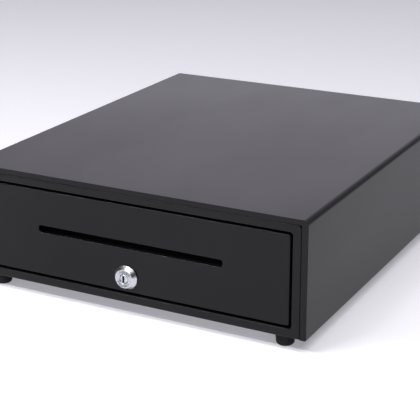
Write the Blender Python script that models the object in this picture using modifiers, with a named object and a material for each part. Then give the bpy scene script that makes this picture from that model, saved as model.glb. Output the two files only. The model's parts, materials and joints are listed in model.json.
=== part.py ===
"""A compact cash drawer: a folded steel case on four rubber feet, with a drawer that rolls on side
runners, a lift-out till, a key lock with a cam, and a solenoid latch with its ejector at the rear.

Frame: metres, +Z up, the front faces -Y and +X is to the right seen from the front. The origin is
the middle of the footprint, on the surface that the feet stand on. The drawer is shut, the lock is
open and the latch is lifted.
"""
import math

import bmesh
import bpy
from mathutils import Matrix, Vector

# ---- Driving dimensions ------------------------------------------------------------------------
CASE_W = 0.350
CASE_D = 0.405
CASE_H = 0.109
FOOT_H = 0.012
SHEET = 0.0012          # all folded steel sheet
GAP = 0.0003            # between pieces that touch
LOCK_PROUD = 0.0045     # lock bezel, in front of the case
SCREW_PROUD = 0.0018    # rear screw heads, behind the case

BASE = FOOT_H           # height of the case's underside
TOP = BASE + CASE_H
Y_BACK = (CASE_D + LOCK_PROUD - SCREW_PROUD) / 2
Y_FRONT = Y_BACK - CASE_D
FAR = 0.02              # how far a cutter runs past what it cuts

# ---- Case --------------------------------------------------------------------------------------
COVER_X = CASE_W / 2
COVER_ROUND = 0.004     # the two long top edges
EDGE_ROUND = 0.0015
FRONT_LIP = 0.006       # cover's front lip at the sides
FRONT_LIP_TOP = 0.005
REAR_LIP = 0.012
BOTTOM_LIP = 0.012

FRAME_X = COVER_X - FRONT_LIP - GAP
FRAME_TOP = TOP - FRONT_LIP_TOP - GAP
FRAME_DEPTH = 0.012
OPEN_X = 0.1607         # half width of the frame's opening
OPEN_LOW = BASE + 0.0082
OPEN_HIGH = BASE + 0.0963
OPEN_ROUND = 0.0035

BASE_PLATE_X = FRAME_X - SHEET - GAP
BASE_PLATE_LOW = BASE + SHEET + GAP
FLOOR = BASE_PLATE_LOW + SHEET + GAP      # where brackets stand inside
REAR_PANEL_Y = Y_BACK - 2 * SHEET - GAP   # its inner face
REAR_PANEL_X = COVER_X - SHEET - 0.0004

FOOT_R = 0.009
FOOT_X = 0.150
FOOT_INSET = 0.013
FOOT_STEM_R = 0.0025

# ---- Drawer ------------------------------------------------------------------------------------
FRONT_GAP = 0.0024      # dark gap around the drawer's front
PANEL_X = OPEN_X - FRONT_GAP
PANEL_LOW = OPEN_LOW + FRONT_GAP
PANEL_HIGH = OPEN_HIGH - FRONT_GAP
PANEL_Y = Y_FRONT + 0.0005
PANEL_DEPTH = 0.010
PANEL_ROUND = 0.002
SLOT_HALF = 0.0957
SLOT_X = -0.0010                          # its middle, a hair left of the drawer's
SLOT_LOW = BASE + 0.0527
SLOT_HIGH = BASE + 0.0594

PAN_X = 0.150
PAN_FRONT = PANEL_Y + SHEET + GAP
PAN_WALL_Y = Y_FRONT + 0.019              # the wall behind the lock
PAN_BACK = 0.130
PAN_LOW = BASE + 0.014
PAN_TOP = BASE + 0.080
PAN_FRONT_TOP = BASE + 0.046

# ---- Lock --------------------------------------------------------------------------------------
LOCK_X = -0.0024                          # the key's axis, left of the middle
LOCK_Z = BASE + 0.0251
BEZEL_R = 0.0117
BEZEL_FACE_R = 0.0098
BARREL_R = 0.009
BARREL_END = Y_FRONT + 0.0130
PLUG_R = 0.0042
CAM_Y = BARREL_END + 0.0005
CAM_THICK = 0.0015
CAM_REACH = 0.022

# ---- Rolling gear (right side; the left is its mirror image) -----------------------------------
ROLLER_R = 0.0085
ROLLER_HOLE_R = 0.0023
PIN_R = 0.0020
RAIL_WEB_X = 0.1634
RAIL_LIP_X = 0.1525
RAIL_FOOT_X = 0.1550
RAIL_TRACK = BASE + 0.0160                # what the drawer's roller rolls on
RAIL_TOP = BASE + 0.0352
RAIL_FRONT = Y_FRONT + FRAME_DEPTH + 0.0005
RAIL_BACK = 0.199
RAIL_ROLLER_Y = -0.178
RAIL_ROLLER_Z = BASE + 0.0285
RAIL_ROLLER_X = (0.1535, 0.1605)
RUNNER_ROLLER_Y = 0.1215
RUNNER_ROLLER_Z = RAIL_TRACK + GAP + ROLLER_R
RUNNER_ROLLER_X = (0.1530, 0.1594)
RUNNER_WEB_X = PAN_X + GAP
RUNNER_OUT_X = 0.1600
RUNNER_LOW = BASE + 0.020
RUNNER_HIGH = RAIL_ROLLER_Z + ROLLER_R + GAP + SHEET

# ---- Till --------------------------------------------------------------------------------------
TILL_X = 0.1484
TILL_FRONT = Y_FRONT + 0.034
TILL_BACK = PAN_BACK - SHEET - 0.0004
TILL_LOW = BASE + 0.034
TILL_TOP = BASE + 0.0833
TILL_WALL = 0.002
RIM = 0.0022            # how far the till's rim overhangs
RIM_LOW = PAN_TOP + GAP
COIN_BAY_BACK = -0.055
BILL_BAYS = 4
COIN_COLUMNS = 4
COIN_ROWS = 2
TRAY_TOP = BASE + 0.082
CUP_DEPTH = 0.030
CUP_WALL = 0.002

ROD_Y = 0.119
ROD_Z = BASE + 0.0775
ROD_R = 0.002
CLIP_REACH = 0.092
CLIP_REST = math.radians(-25)
CLIP_HUB_R = 0.0045

# ---- Latch and ejector -------------------------------------------------------------------------
LATCH_Y = 0.164
LATCH_Z = BASE + 0.034
LATCH_ARM = 0.016       # from the pivot up to the solenoid's line
HOOK_TIP = (0.1375, 0.1415)
HOOK_TIP_LOW = BASE + 0.027
SOLENOID_Z = LATCH_Z + LATCH_ARM
BRACKET_X = 0.020
STRIKER_Z = BASE + 0.024
EJECT_X = 0.060
EJECT_Z = BASE + 0.024
EJECT_WALL_Y = 0.160
SWITCH_X = -0.060
SWITCH_Y = 0.145
SOCKET_X = -0.1075
SOCKET_Z = BASE + 0.0225

ROUND = 16              # steps around a small round piece
HOLE_ROUND = 12         # and around a screw or pin hole


# ---- Scene and materials -----------------------------------------------------------------------
def clear_scene():
    for thing in list(bpy.data.objects):
        bpy.data.objects.remove(thing, do_unlink=True)


def new_collection(name):
    group = bpy.data.collections.new(name)
    bpy.context.scene.collection.children.link(group)
    return group


def material(name, colour, roughness, metallic=0.0):
    finish = bpy.data.materials.new(name)
    finish.use_nodes = True
    shader = finish.node_tree.nodes["Principled BSDF"]
    shader.inputs["Base Color"].default_value = (*colour, 1.0)
    shader.inputs["Roughness"].default_value = roughness
    shader.inputs["Metallic"].default_value = metallic
    finish.diffuse_color = (*colour, 1.0)
    return finish


clear_scene()
PARTS = new_collection("cash_drawer")
CUTTERS = new_collection("cutters")
GUIDES = new_collection("guides")

CASE_PAINT = material("case_paint", (0.030, 0.030, 0.034), 0.42)
FRONT_PAINT = material("front_paint", (0.026, 0.026, 0.029), 0.36)
RUBBER = material("foot_rubber", (0.010, 0.010, 0.011), 0.75)
LOCK_METAL = material("lock_metal", (0.80, 0.80, 0.82), 0.22, 1.0)
ZINC = material("zinc_steel", (0.60, 0.61, 0.63), 0.38, 1.0)
SPRING_STEEL = material("spring_steel", (0.45, 0.45, 0.46), 0.30, 1.0)
TILL_PLASTIC = material("till_plastic", (0.020, 0.020, 0.022), 0.48)
NYLON = material("nylon", (0.72, 0.71, 0.67), 0.45)
SOCKET_PLASTIC = material("socket_plastic", (0.015, 0.015, 0.016), 0.40)
COIL_WRAP = material("coil_wrap", (0.42, 0.20, 0.06), 0.50)


# ---- Modelling helpers -------------------------------------------------------------------------
def mesh_from(bm, name):
    bmesh.ops.recalc_face_normals(bm, faces=bm.faces)
    mesh = bpy.data.meshes.new(name)
    bm.to_mesh(mesh)
    bm.free()
    return mesh


def place(name, mesh, finish, location=(0, 0, 0), rotation=(0, 0, 0)):
    """One part, made from a mesh, in the parts' collection."""
    thing = bpy.data.objects.new(name, mesh)
    thing.location = location
    thing.rotation_euler = rotation
    if not mesh.materials:
        mesh.materials.append(finish)
    PARTS.objects.link(thing)
    return thing


def cutter(name, mesh):
    thing = bpy.data.objects.new(name, mesh)
    thing.hide_render = True
    thing.display_type = "WIRE"
    CUTTERS.objects.link(thing)
    return thing


def add_box(bm, low, high):
    low, high = Vector(low), Vector(high)
    size = high - low
    matrix = Matrix.Translation((low + high) / 2) @ Matrix.Diagonal((*size, 1))
    bmesh.ops.create_cube(bm, size=1.0, matrix=matrix)


def box_mesh(name, *corners):
    """Boxes given by their lowest and highest corners, as one mesh."""
    bm = bmesh.new()
    for low, high in corners:
        add_box(bm, low, high)
    return mesh_from(bm, name)


def along(axis):
    """The turn that lays a shape's own +Z along a world axis."""
    turns = {"X": Matrix.Rotation(math.pi / 2, 4, "Y"), "Y": Matrix.Rotation(-math.pi / 2, 4, "X"),
             "Z": Matrix.Identity(4)}
    return turns[axis]


def rods_mesh(name, axis, radius, *ends, steps=ROUND):
    """Cylinders along one axis, each from a start point and a length."""
    bm = bmesh.new()
    for start, length in ends:
        matrix = Matrix.Translation(start) @ along(axis) @ Matrix.Translation((0, 0, length / 2))
        bmesh.ops.create_cone(bm, cap_ends=True, segments=steps, radius1=radius, radius2=radius,
                              depth=length, matrix=matrix)
    return mesh_from(bm, name)


def evaluated(thing):
    """The mesh that an object's modifiers or curve settings make; the object is then removed."""
    bpy.context.view_layer.update()
    graph = bpy.context.evaluated_depsgraph_get()
    mesh = bpy.data.meshes.new_from_object(thing.evaluated_get(graph))
    mesh.transform(thing.matrix_world)
    bpy.data.objects.remove(thing, do_unlink=True)
    bm = bmesh.new()
    bm.from_mesh(mesh)
    bmesh.ops.remove_doubles(bm, verts=bm.verts, dist=0.00001)
    bmesh.ops.dissolve_degenerate(bm, edges=bm.edges, dist=0.000005)
    bmesh.ops.recalc_face_normals(bm, faces=bm.faces)
    bm.to_mesh(mesh)
    bm.free()
    return mesh


def turned_mesh(name, profile, axis="Z", steps=ROUND):
    """A profile of (radius, height) points turned about an axis. A profile that starts and ends
    off the axis is a ring, and closes on itself."""
    bm = bmesh.new()
    verts = [bm.verts.new((radius, 0, height)) for radius, height in profile]
    for first, second in zip(verts, verts[1:]):
        bm.edges.new((first, second))
    if profile[0][0] > 0:
        bm.edges.new((verts[-1], verts[0]))
    mesh = bpy.data.meshes.new(name)
    bm.to_mesh(mesh)
    bm.free()
    guide = bpy.data.objects.new(name + "_profile", mesh)
    GUIDES.objects.link(guide)
    screw = guide.modifiers.new("turn", "SCREW")
    screw.steps = screw.render_steps = steps
    screw.use_merge_vertices = True
    screw.merge_threshold = 0.00001
    mesh = evaluated(guide)
    mesh.transform(along(axis))
    mesh.shade_smooth()
    mesh.set_sharp_from_angle(angle=math.radians(35))
    return mesh


def outline_mesh(name, points, plane, low, high):
    """A flat outline, given in the plane YZ, XZ or XY, made solid between low and high."""
    curve = bpy.data.curves.new(name, "CURVE")
    curve.dimensions = "2D"
    curve.fill_mode = "BOTH"
    curve.extrude = (high - low) / 2
    spline = curve.splines.new("POLY")
    spline.points.add(len(points) - 1)
    for point, (a, b) in zip(spline.points, points):
        point.co = (a, b, 0, 1)
    spline.use_cyclic_u = True
    guide = bpy.data.objects.new(name + "_outline", curve)
    GUIDES.objects.link(guide)
    middle = (low + high) / 2
    turn = {"XY": Matrix.Identity(4),
            "XZ": Matrix(((1, 0, 0, 0), (0, 0, -1, 0), (0, 1, 0, 0), (0, 0, 0, 1))),
            "YZ": Matrix(((0, 0, 1, 0), (1, 0, 0, 0), (0, 1, 0, 0), (0, 0, 0, 1)))}[plane]
    offset = {"XY": (0, 0, middle), "XZ": (0, middle, 0), "YZ": (middle, 0, 0)}[plane]
    mesh = evaluated(guide)
    mesh.transform(Matrix.Translation(offset) @ turn)
    return mesh


def folded(name, path, plane, low, high, finish, thickness=SHEET, side=-1):
    """A sheet folded along a path in a plane, as wide as low to high, with Solidify."""
    bm = bmesh.new()
    order = {"XZ": lambda a, b, c: (a, c, b), "YZ": lambda a, b, c: (c, a, b),
             "XY": lambda a, b, c: (a, b, c)}[plane]
    verts = [bm.verts.new(order(a, b, low)) for a, b in path]
    edges = [bm.edges.new(pair) for pair in zip(verts, verts[1:])]
    grown = bmesh.ops.extrude_edge_only(bm, edges=edges)["geom"]
    shift = Vector(order(0, 0, high - low))
    bmesh.ops.translate(bm, vec=shift, verts=[g for g in grown if isinstance(g, bmesh.types.BMVert)])
    mesh = bpy.data.meshes.new(name)
    bm.to_mesh(mesh)
    bm.free()
    thing = place(name, mesh, finish)
    solid = thing.modifiers.new("sheet", "SOLIDIFY")
    solid.thickness = thickness
    solid.offset = side
    solid.use_even_offset = True
    return thing


def coil_mesh(name, radius, wire_r, length, turns, axis, steps=8):
    """A coil spring of round wire, starting at the origin and running along an axis."""
    curve = bpy.data.curves.new(name, "CURVE")
    curve.dimensions = "3D"
    curve.bevel_depth = wire_r
    curve.bevel_resolution = 0
    curve.use_fill_caps = True
    spline = curve.splines.new("POLY")
    count = int(turns * steps) + 1
    spline.points.add(count - 1)
    for index, point in enumerate(spline.points):
        angle = 2 * math.pi * index / steps
        height = length * index / (count - 1)
        point.co = (radius * math.cos(angle), radius * math.sin(angle), height, 1)
    guide = bpy.data.objects.new(name + "_wire", curve)
    GUIDES.objects.link(guide)
    mesh = evaluated(guide)
    mesh.transform(along(axis))
    return mesh


def cut(thing, tool, operation="DIFFERENCE"):
    """Boolean with a cutter, or with a list of cutters one after the other."""
    for each in tool if isinstance(tool, list) else [tool]:
        boolean = thing.modifiers.new(each.name, "BOOLEAN")
        boolean.operation = operation
        boolean.object = each


def cut_boxes(thing, label, *corners):
    cut(thing, cutter(f"{thing.name}_{label}", box_mesh(label, *corners)))


def cut_rods(thing, label, axis, radius, *ends, steps=HOLE_ROUND):
    holes = rods_mesh(label, axis, radius, *ends, steps=steps)
    cut(thing, cutter(f"{thing.name}_{label}", holes))


def arc(centre, radius, start, end, steps):
    """Points on an arc, angles in degrees."""
    angles = [math.radians(start + (end - start) * i / steps) for i in range(steps + 1)]
    return [(centre[0] + radius * math.cos(a), centre[1] + radius * math.sin(a)) for a in angles]


def rounded(low_a, high_a, low_b, high_b, radius, steps=4):
    """A rectangle's outline with round corners."""
    corners = ((high_a - radius, high_b - radius, 0), (low_a + radius, high_b - radius, 90),
               (low_a + radius, low_b + radius, 180), (high_a - radius, low_b + radius, 270))
    return [p for a, b, turn in corners for p in arc((a, b), radius, turn, turn + 90, steps)]


def bevel_where(bm, test, radius, steps):
    """Round off the edges whose middle point and direction pass a test."""
    edges = [e for e in bm.edges
             if test((e.verts[0].co + e.verts[1].co) / 2, e.verts[1].co - e.verts[0].co)]
    bmesh.ops.bevel(bm, geom=edges, offset=radius, segments=steps, profile=0.5, affect="EDGES",
                    clamp_overlap=True)


def hang(pivot_name, location, *pieces):
    """Parent moving pieces to an empty on their joint's axis, leaving them where they are."""
    pivot = bpy.data.objects.new(pivot_name, None)
    pivot.empty_display_size = 0.02
    pivot.location = location
    PARTS.objects.link(pivot)
    for piece in pieces:
        piece.parent = pivot
        piece.matrix_parent_inverse = Matrix.Translation(location).inverted()
    return pivot


# ---- Case --------------------------------------------------------------------------------------
def cover():
    """One folded sheet: top and sides, with a lip round the front, the rear and under the sides."""
    bm = bmesh.new()
    add_box(bm, (-COVER_X, Y_FRONT, BASE), (COVER_X, Y_BACK, TOP))
    bevel_where(bm, lambda p, d: abs(d.y) > 0.1 and p.z > TOP - GAP, COVER_ROUND, 4)
    bevel_where(bm, lambda p, d: abs(p.y - Y_FRONT) < GAP and p.z > BASE + GAP, EDGE_ROUND, 2)
    bevel_where(bm, lambda p, d: abs(p.y - Y_BACK) < GAP and p.z > BASE + GAP, EDGE_ROUND, 2)
    thing = place("cover", mesh_from(bm, "cover"), CASE_PAINT)

    bm = bmesh.new()
    inside = COVER_X - SHEET
    add_box(bm, (-inside, Y_FRONT + SHEET, BASE + SHEET), (inside, Y_BACK - SHEET, TOP - SHEET))
    bevel_where(bm, lambda p, d: abs(d.y) > 0.1 and p.z > TOP - SHEET - GAP, COVER_ROUND - SHEET, 4)
    cut(thing, cutter("cover_hollow", mesh_from(bm, "cover_hollow")))

    side = COVER_X - FRONT_LIP
    rear = COVER_X - REAR_LIP
    bottom = COVER_X - BOTTOM_LIP
    cut_boxes(thing, "front", ((-side, Y_FRONT - FAR, BASE - FAR),
                               (side, Y_FRONT + 2 * SHEET, TOP - FRONT_LIP_TOP)))
    cut_boxes(thing, "frame_seat", ((-side, Y_FRONT - FAR, BASE - FAR),
                                    (side, RAIL_FRONT, BASE + 2 * SHEET)))
    cut_boxes(thing, "rear", ((-rear, Y_BACK - 2 * SHEET, BASE - FAR),
                              (rear, Y_BACK + FAR, TOP - REAR_LIP)))
    cut_boxes(thing, "bottom", ((-bottom, Y_FRONT - FAR, BASE - FAR),
                                (bottom, Y_BACK + FAR, BASE + 2 * SHEET)))
    return thing


def front_frame():
    """The pressed surround of the drawer's front: a channel section round its opening."""
    bm = bmesh.new()
    add_box(bm, (-FRAME_X, Y_FRONT, BASE), (FRAME_X, Y_FRONT + FRAME_DEPTH, FRAME_TOP))
    bevel_where(bm, lambda p, d: abs(d.y) > 0.005 and p.z > FRAME_TOP - GAP, 0.002, 3)
    bevel_where(bm, lambda p, d: abs(p.y - Y_FRONT) < GAP, 0.001, 2)
    thing = place("front_frame", mesh_from(bm, "front_frame"), CASE_PAINT)
    hole = rounded(-OPEN_X, OPEN_X, OPEN_LOW, OPEN_HIGH, OPEN_ROUND)
    opening = outline_mesh("frame_opening", hole, "XZ", Y_FRONT - FAR, Y_FRONT + FRAME_DEPTH + FAR)
    cut(thing, cutter("front_frame_opening", opening))
    near, far = Y_FRONT + SHEET, Y_FRONT + FRAME_DEPTH + FAR
    outer, inner = FRAME_X - SHEET, OPEN_X + SHEET
    low, high = OPEN_LOW - SHEET, OPEN_HIGH + SHEET
    cut_boxes(thing, "channel_sides", ((-outer, near, BASE + SHEET), (-inner, far, FRAME_TOP - SHEET)),
              ((inner, near, BASE + SHEET), (outer, far, FRAME_TOP - SHEET)))
    cut_boxes(thing, "channel_top", ((-outer, near, high), (outer, far, FRAME_TOP - SHEET)))
    cut_boxes(thing, "channel_bottom", ((-outer, near, BASE + SHEET), (outer, far, low)))
    return thing


def foot_places():
    return [(side * FOOT_X, y, 0) for y in (Y_FRONT + FOOT_INSET, Y_BACK - FOOT_INSET)
            for side in (-1, 1)]


def base_plate():
    plate = outline_mesh("base_plate", rounded(-BASE_PLATE_X, BASE_PLATE_X, Y_FRONT + SHEET + GAP,
                                               REAR_PANEL_Y - GAP, 0.003, 2),
                         "XY", BASE_PLATE_LOW, BASE_PLATE_LOW + SHEET)
    return place("base_plate", plate, ZINC)


def feet(*seats):
    """Push-in rubber feet, whose stems pass the holes in the pieces they seat in."""
    barb = FLOOR + 0.0002
    profile = [(0, barb + 0.0028), (0.0018, barb + 0.0028), (FOOT_STEM_R + 0.0008, barb),
               (FOOT_STEM_R, barb), (FOOT_STEM_R, BASE - GAP), (FOOT_R, BASE - GAP),
               (FOOT_R - 0.0008, 0.0035), (FOOT_R - 0.0018, 0.0012), (FOOT_R - 0.0036, 0), (0, 0)]
    mesh = turned_mesh("foot", profile, steps=20)
    names = ("front_left", "front_right", "rear_left", "rear_right")
    for name, (x, y, z) in zip(names, foot_places()):
        place("foot_" + name, mesh, RUBBER, (x, y, z))
    for seat in seats:
        cut_rods(seat, "foot_holes", "Z", FOOT_STEM_R + GAP,
                 *[((x, y, BASE - 0.002), 0.008) for x, y, z in foot_places()])


def rear_screw_places():
    inset = REAR_LIP / 2
    return [(side * (COVER_X - inset), z) for side in (-1, 1) for z in (BASE + 0.018, TOP - 0.018)]


def rear_panel():
    panel = outline_mesh("rear_panel", rounded(-REAR_PANEL_X, REAR_PANEL_X, BASE_PLATE_LOW,
                                               TOP - SHEET - GAP, 0.0032, 3),
                         "XZ", REAR_PANEL_Y, REAR_PANEL_Y + SHEET)
    thing = place("rear_panel", panel, CASE_PAINT)
    half = 0.0075 + GAP
    cut_boxes(thing, "socket_hole", ((SOCKET_X - half, REAR_PANEL_Y - FAR, SOCKET_Z - half),
                                     (SOCKET_X + half, Y_BACK + FAR, SOCKET_Z + half)))
    return thing


def rear_screws(*seats):
    """Pan-head screws through the cover's rear lip into the rear panel."""
    head, stem = 0.0032, 0.0015
    profile = [(0, SCREW_PROUD), (0.0016, SCREW_PROUD), (0.0027, SCREW_PROUD - 0.0005),
               (head, GAP + 0.0003), (head, GAP), (stem, GAP), (stem, -0.0060),
               (0.0008, -0.0068), (0, -0.0068)]
    mesh = turned_mesh("rear_screw", profile, "Y", 12)
    for index, (x, z) in enumerate(rear_screw_places()):
        place(f"rear_screw_{index + 1}", mesh, ZINC, (x, Y_BACK, z))
    for seat in seats:
        cut_rods(seat, "screw_holes", "Y", stem + GAP,
                 *[((x, Y_BACK - 0.006, z), 0.010) for x, z in rear_screw_places()])


def inlet_socket():
    """A square jack for the opening pulse, with a collar behind the rear panel."""
    half, collar = 0.0075, 0.0095
    face = REAR_PANEL_Y + SHEET + GAP / 2
    thing = place("inlet_socket", box_mesh("inlet_socket", (
        (SOCKET_X - half, 0.184, SOCKET_Z - half), (SOCKET_X + half, face, SOCKET_Z + half))),
        SOCKET_PLASTIC)
    collar_mesh = box_mesh("collar", ((SOCKET_X - collar, 0.196, SOCKET_Z - collar),
                                      (SOCKET_X + collar, REAR_PANEL_Y - GAP, SOCKET_Z + collar)))
    cut(thing, cutter("inlet_socket_collar", collar_mesh), "UNION")
    cut_boxes(thing, "bore", ((SOCKET_X - 0.0052, face - 0.012, SOCKET_Z - 0.0045),
                              (SOCKET_X + 0.0052, face + FAR, SOCKET_Z + 0.0025)))
    cut_boxes(thing, "tab_bore", ((SOCKET_X - 0.0022, face - 0.012, SOCKET_Z),
                                  (SOCKET_X + 0.0022, face + FAR, SOCKET_Z + 0.0045)))
    return thing


# ---- Rolling gear ------------------------------------------------------------------------------
def rail(name, side):
    """A fixed side member: a foot on the base plate, a web, and a track for the drawer's roller."""
    track, top, low = RAIL_TRACK, RAIL_TOP, FLOOR
    section = [(RAIL_WEB_X, low), (RAIL_WEB_X, top), (RAIL_LIP_X, top), (RAIL_LIP_X, top - SHEET),
               (RAIL_WEB_X - SHEET, top - SHEET), (RAIL_WEB_X - SHEET, track), (RAIL_LIP_X, track),
               (RAIL_LIP_X, track - SHEET), (RAIL_WEB_X - SHEET, track - SHEET),
               (RAIL_WEB_X - SHEET, low + SHEET), (RAIL_FOOT_X, low + SHEET), (RAIL_FOOT_X, low)]
    outline = [(side * x, z) for x, z in section]
    thing = place(name, outline_mesh(name, outline, "XZ", RAIL_FRONT, RAIL_BACK), ZINC)
    near, far = sorted((side * (RAIL_LIP_X - 0.001), side * (RAIL_WEB_X - SHEET - GAP)))
    cut_boxes(thing, "roller_gap", ((near, RAIL_FRONT - FAR, top - 2 * SHEET),
                                    (far, RAIL_ROLLER_Y + 0.012, top + SHEET)))
    start = min(side * 0.161, side * 0.165)
    cut_rods(thing, "pin_hole", "X", ROLLER_HOLE_R, ((start, RAIL_ROLLER_Y, RAIL_ROLLER_Z), 0.004))
    return thing


def runner(name, side):
    """The drawer's own folded runner, which rides on the case's roller."""
    path = [(side * RUNNER_WEB_X, RUNNER_LOW), (side * RUNNER_WEB_X, RUNNER_HIGH),
            (side * RUNNER_OUT_X, RUNNER_HIGH)]
    thing = folded(name, path, "XZ", PANEL_Y + PANEL_DEPTH + 0.0005, PAN_BACK, ZINC, side=side)
    start = min(side * 0.149, side * 0.153)
    cut_rods(thing, "pin_hole", "X", ROLLER_HOLE_R,
             ((start, RUNNER_ROLLER_Y, RUNNER_ROLLER_Z), 0.004))
    return thing


def roller_mesh(name, low, high):
    """A nylon roller on its own axis at the origin, with a recess round its bore."""
    half = (high - low) / 2
    profile = [(ROLLER_HOLE_R, half), (ROLLER_R - 0.0005, half), (ROLLER_R, half - 0.0005),
               (ROLLER_R, 0.0005 - half), (ROLLER_R - 0.0005, -half), (ROLLER_HOLE_R, -half)]
    return turned_mesh(name, profile, "X", 24)


def pin_mesh(name, head_at, head_thick, start, end):
    """A riveted roller pin along X: shank, an inner head, and a thin far head."""
    profile = [(0, head_at), (0.0036, head_at), (0.0036, head_at + head_thick),
               (PIN_R, head_at + head_thick), (PIN_R, end), (0.0034, end), (0.0034, end + 0.0008),
               (0, end + 0.0008)]
    if start != head_at:
        profile[0:1] = [(0, start), (PIN_R, start), (PIN_R, head_at)]
    return turned_mesh(name, list(reversed(profile)), "X", 12)


def rolling_gear():
    """The same four pieces on each side: rail, runner, two rollers and their pins."""
    rail_half = sum(RAIL_ROLLER_X) / 2
    runner_half = sum(RUNNER_ROLLER_X) / 2
    rail_roller = roller_mesh("rail_roller", *RAIL_ROLLER_X)
    runner_roller = roller_mesh("runner_roller", *RUNNER_ROLLER_X)
    rail_pin = pin_mesh("rail_pin", 0.1521, 0.0011, 0.1521, RAIL_WEB_X + GAP)
    runner_pin = pin_mesh("runner_pin", 0.1518, 0.0009, 0.1504, 0.1597)
    for label, side in (("left", -1), ("right", 1)):
        rail("rail_" + label, side)
        runner("runner_" + label, side)
        turn = (0, 0, 0) if side > 0 else (0, 0, math.pi)
        place("rail_pin_" + label, rail_pin, ZINC, (0, RAIL_ROLLER_Y, RAIL_ROLLER_Z), turn)
        place("runner_pin_" + label, runner_pin, ZINC, (0, RUNNER_ROLLER_Y, RUNNER_ROLLER_Z), turn)
        place("rail_roller_" + label, rail_roller, NYLON,
              (side * rail_half, RAIL_ROLLER_Y, RAIL_ROLLER_Z))
        place("runner_roller_" + label, runner_roller, NYLON,
              (side * runner_half, RUNNER_ROLLER_Y, RUNNER_ROLLER_Z))


# ---- Drawer ------------------------------------------------------------------------------------
def drawer_front():
    """The pressed front: a shallow tray turned back at its edges, with a slot and a lock hole."""
    bm = bmesh.new()
    add_box(bm, (-PANEL_X, PANEL_Y, PANEL_LOW), (PANEL_X, PANEL_Y + PANEL_DEPTH, PANEL_HIGH))
    bevel_where(bm, lambda p, d: abs(d.y) > 0.005, PANEL_ROUND, 3)
    bevel_where(bm, lambda p, d: abs(p.y - PANEL_Y) < GAP, 0.0010, 2)
    thing = place("drawer_front", mesh_from(bm, "drawer_front"), FRONT_PAINT)
    cut_boxes(thing, "hollow", (
        (SHEET - PANEL_X, PANEL_Y + SHEET, PANEL_LOW + SHEET),
        (PANEL_X - SHEET, PANEL_Y + PANEL_DEPTH + FAR, PANEL_HIGH - SHEET)))
    slot = rounded(SLOT_X - SLOT_HALF, SLOT_X + SLOT_HALF, SLOT_LOW, SLOT_HIGH, 0.0030, 3)
    cut(thing, cutter("drawer_front_slot",
                      outline_mesh("slot", slot, "XZ", PANEL_Y - FAR, PANEL_Y + 2 * SHEET)))
    cut_rods(thing, "lock_hole", "Y", BARREL_R + GAP,
             ((LOCK_X, PANEL_Y - 0.005, LOCK_Z), 0.010), steps=24)


def drawer_pan():
    """The drawer's box. Its side walls run on to the front panel, past the lock's space."""
    thing = place("drawer_pan", box_mesh("drawer_pan", (
        (-PAN_X, PAN_FRONT, PAN_LOW), (PAN_X, PAN_BACK, PAN_TOP))), ZINC)
    inside = PAN_X - SHEET
    cut_boxes(thing, "hollow", ((-inside, PAN_WALL_Y + SHEET, PAN_LOW + SHEET),
                                (inside, PAN_BACK - SHEET, PAN_TOP + FAR)))
    cut_boxes(thing, "lock_space", ((-inside, PAN_FRONT - FAR, PAN_LOW - FAR),
                                    (inside, PAN_WALL_Y, PAN_TOP + FAR)))
    cut_boxes(thing, "media_gap", ((-inside, PAN_WALL_Y - FAR, PAN_FRONT_TOP),
                                   (inside, PAN_WALL_Y + 2 * SHEET, PAN_TOP + FAR)))
    return thing


def striker():
    """A folded catch plate on the pan's rear wall, with a hole for the latch's hook."""
    face = PAN_BACK + GAP
    thing = folded("striker", [(face, STRIKER_Z + 0.014), (face, STRIKER_Z), (0.148, STRIKER_Z)],
                   "YZ", -0.009, 0.009, ZINC, side=1)
    cut_boxes(thing, "hole", ((-0.003, HOOK_TIP[0] - 0.0025, STRIKER_Z - 0.005),
                              (0.003, HOOK_TIP[1] + 0.0035, STRIKER_Z + 0.005)))
    return thing


def till():
    """The lift-out till: a bay for the coin tray in front and four bill bays behind, hung by its
    rim on the pan's walls."""
    thing = place("till", box_mesh("till", (
        (-TILL_X, TILL_FRONT, TILL_LOW), (TILL_X, TILL_BACK, TILL_TOP - 0.001))), TILL_PLASTIC)
    rim = box_mesh("rim", ((-TILL_X - RIM, TILL_FRONT - RIM, RIM_LOW),
                           (TILL_X + RIM, TILL_BACK + RIM, TILL_TOP)))
    cut(thing, cutter("till_rim", rim), "UNION")
    floor = TILL_LOW + TILL_WALL
    inside = TILL_X - TILL_WALL
    cut_boxes(thing, "coin_bay", ((-inside, TILL_FRONT + TILL_WALL, floor),
                                  (inside, COIN_BAY_BACK, TILL_TOP + FAR)))
    pitch = (2 * inside + TILL_WALL) / BILL_BAYS
    bays = []
    for index in range(BILL_BAYS):
        left = -inside + index * pitch
        bays.append(((left, COIN_BAY_BACK + TILL_WALL, floor),
                     (left + pitch - TILL_WALL, TILL_BACK - TILL_WALL, TILL_TOP + FAR)))
    cut_boxes(thing, "bill_bays", *bays)
    cut_rods(thing, "rod_holes", "X", ROD_R + GAP,
             ((-TILL_X - 0.004, ROD_Y, ROD_Z), 2 * TILL_X + 0.008))
    centres = [(low[0] + high[0]) / 2 for low, high in bays]
    return thing, centres


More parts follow.
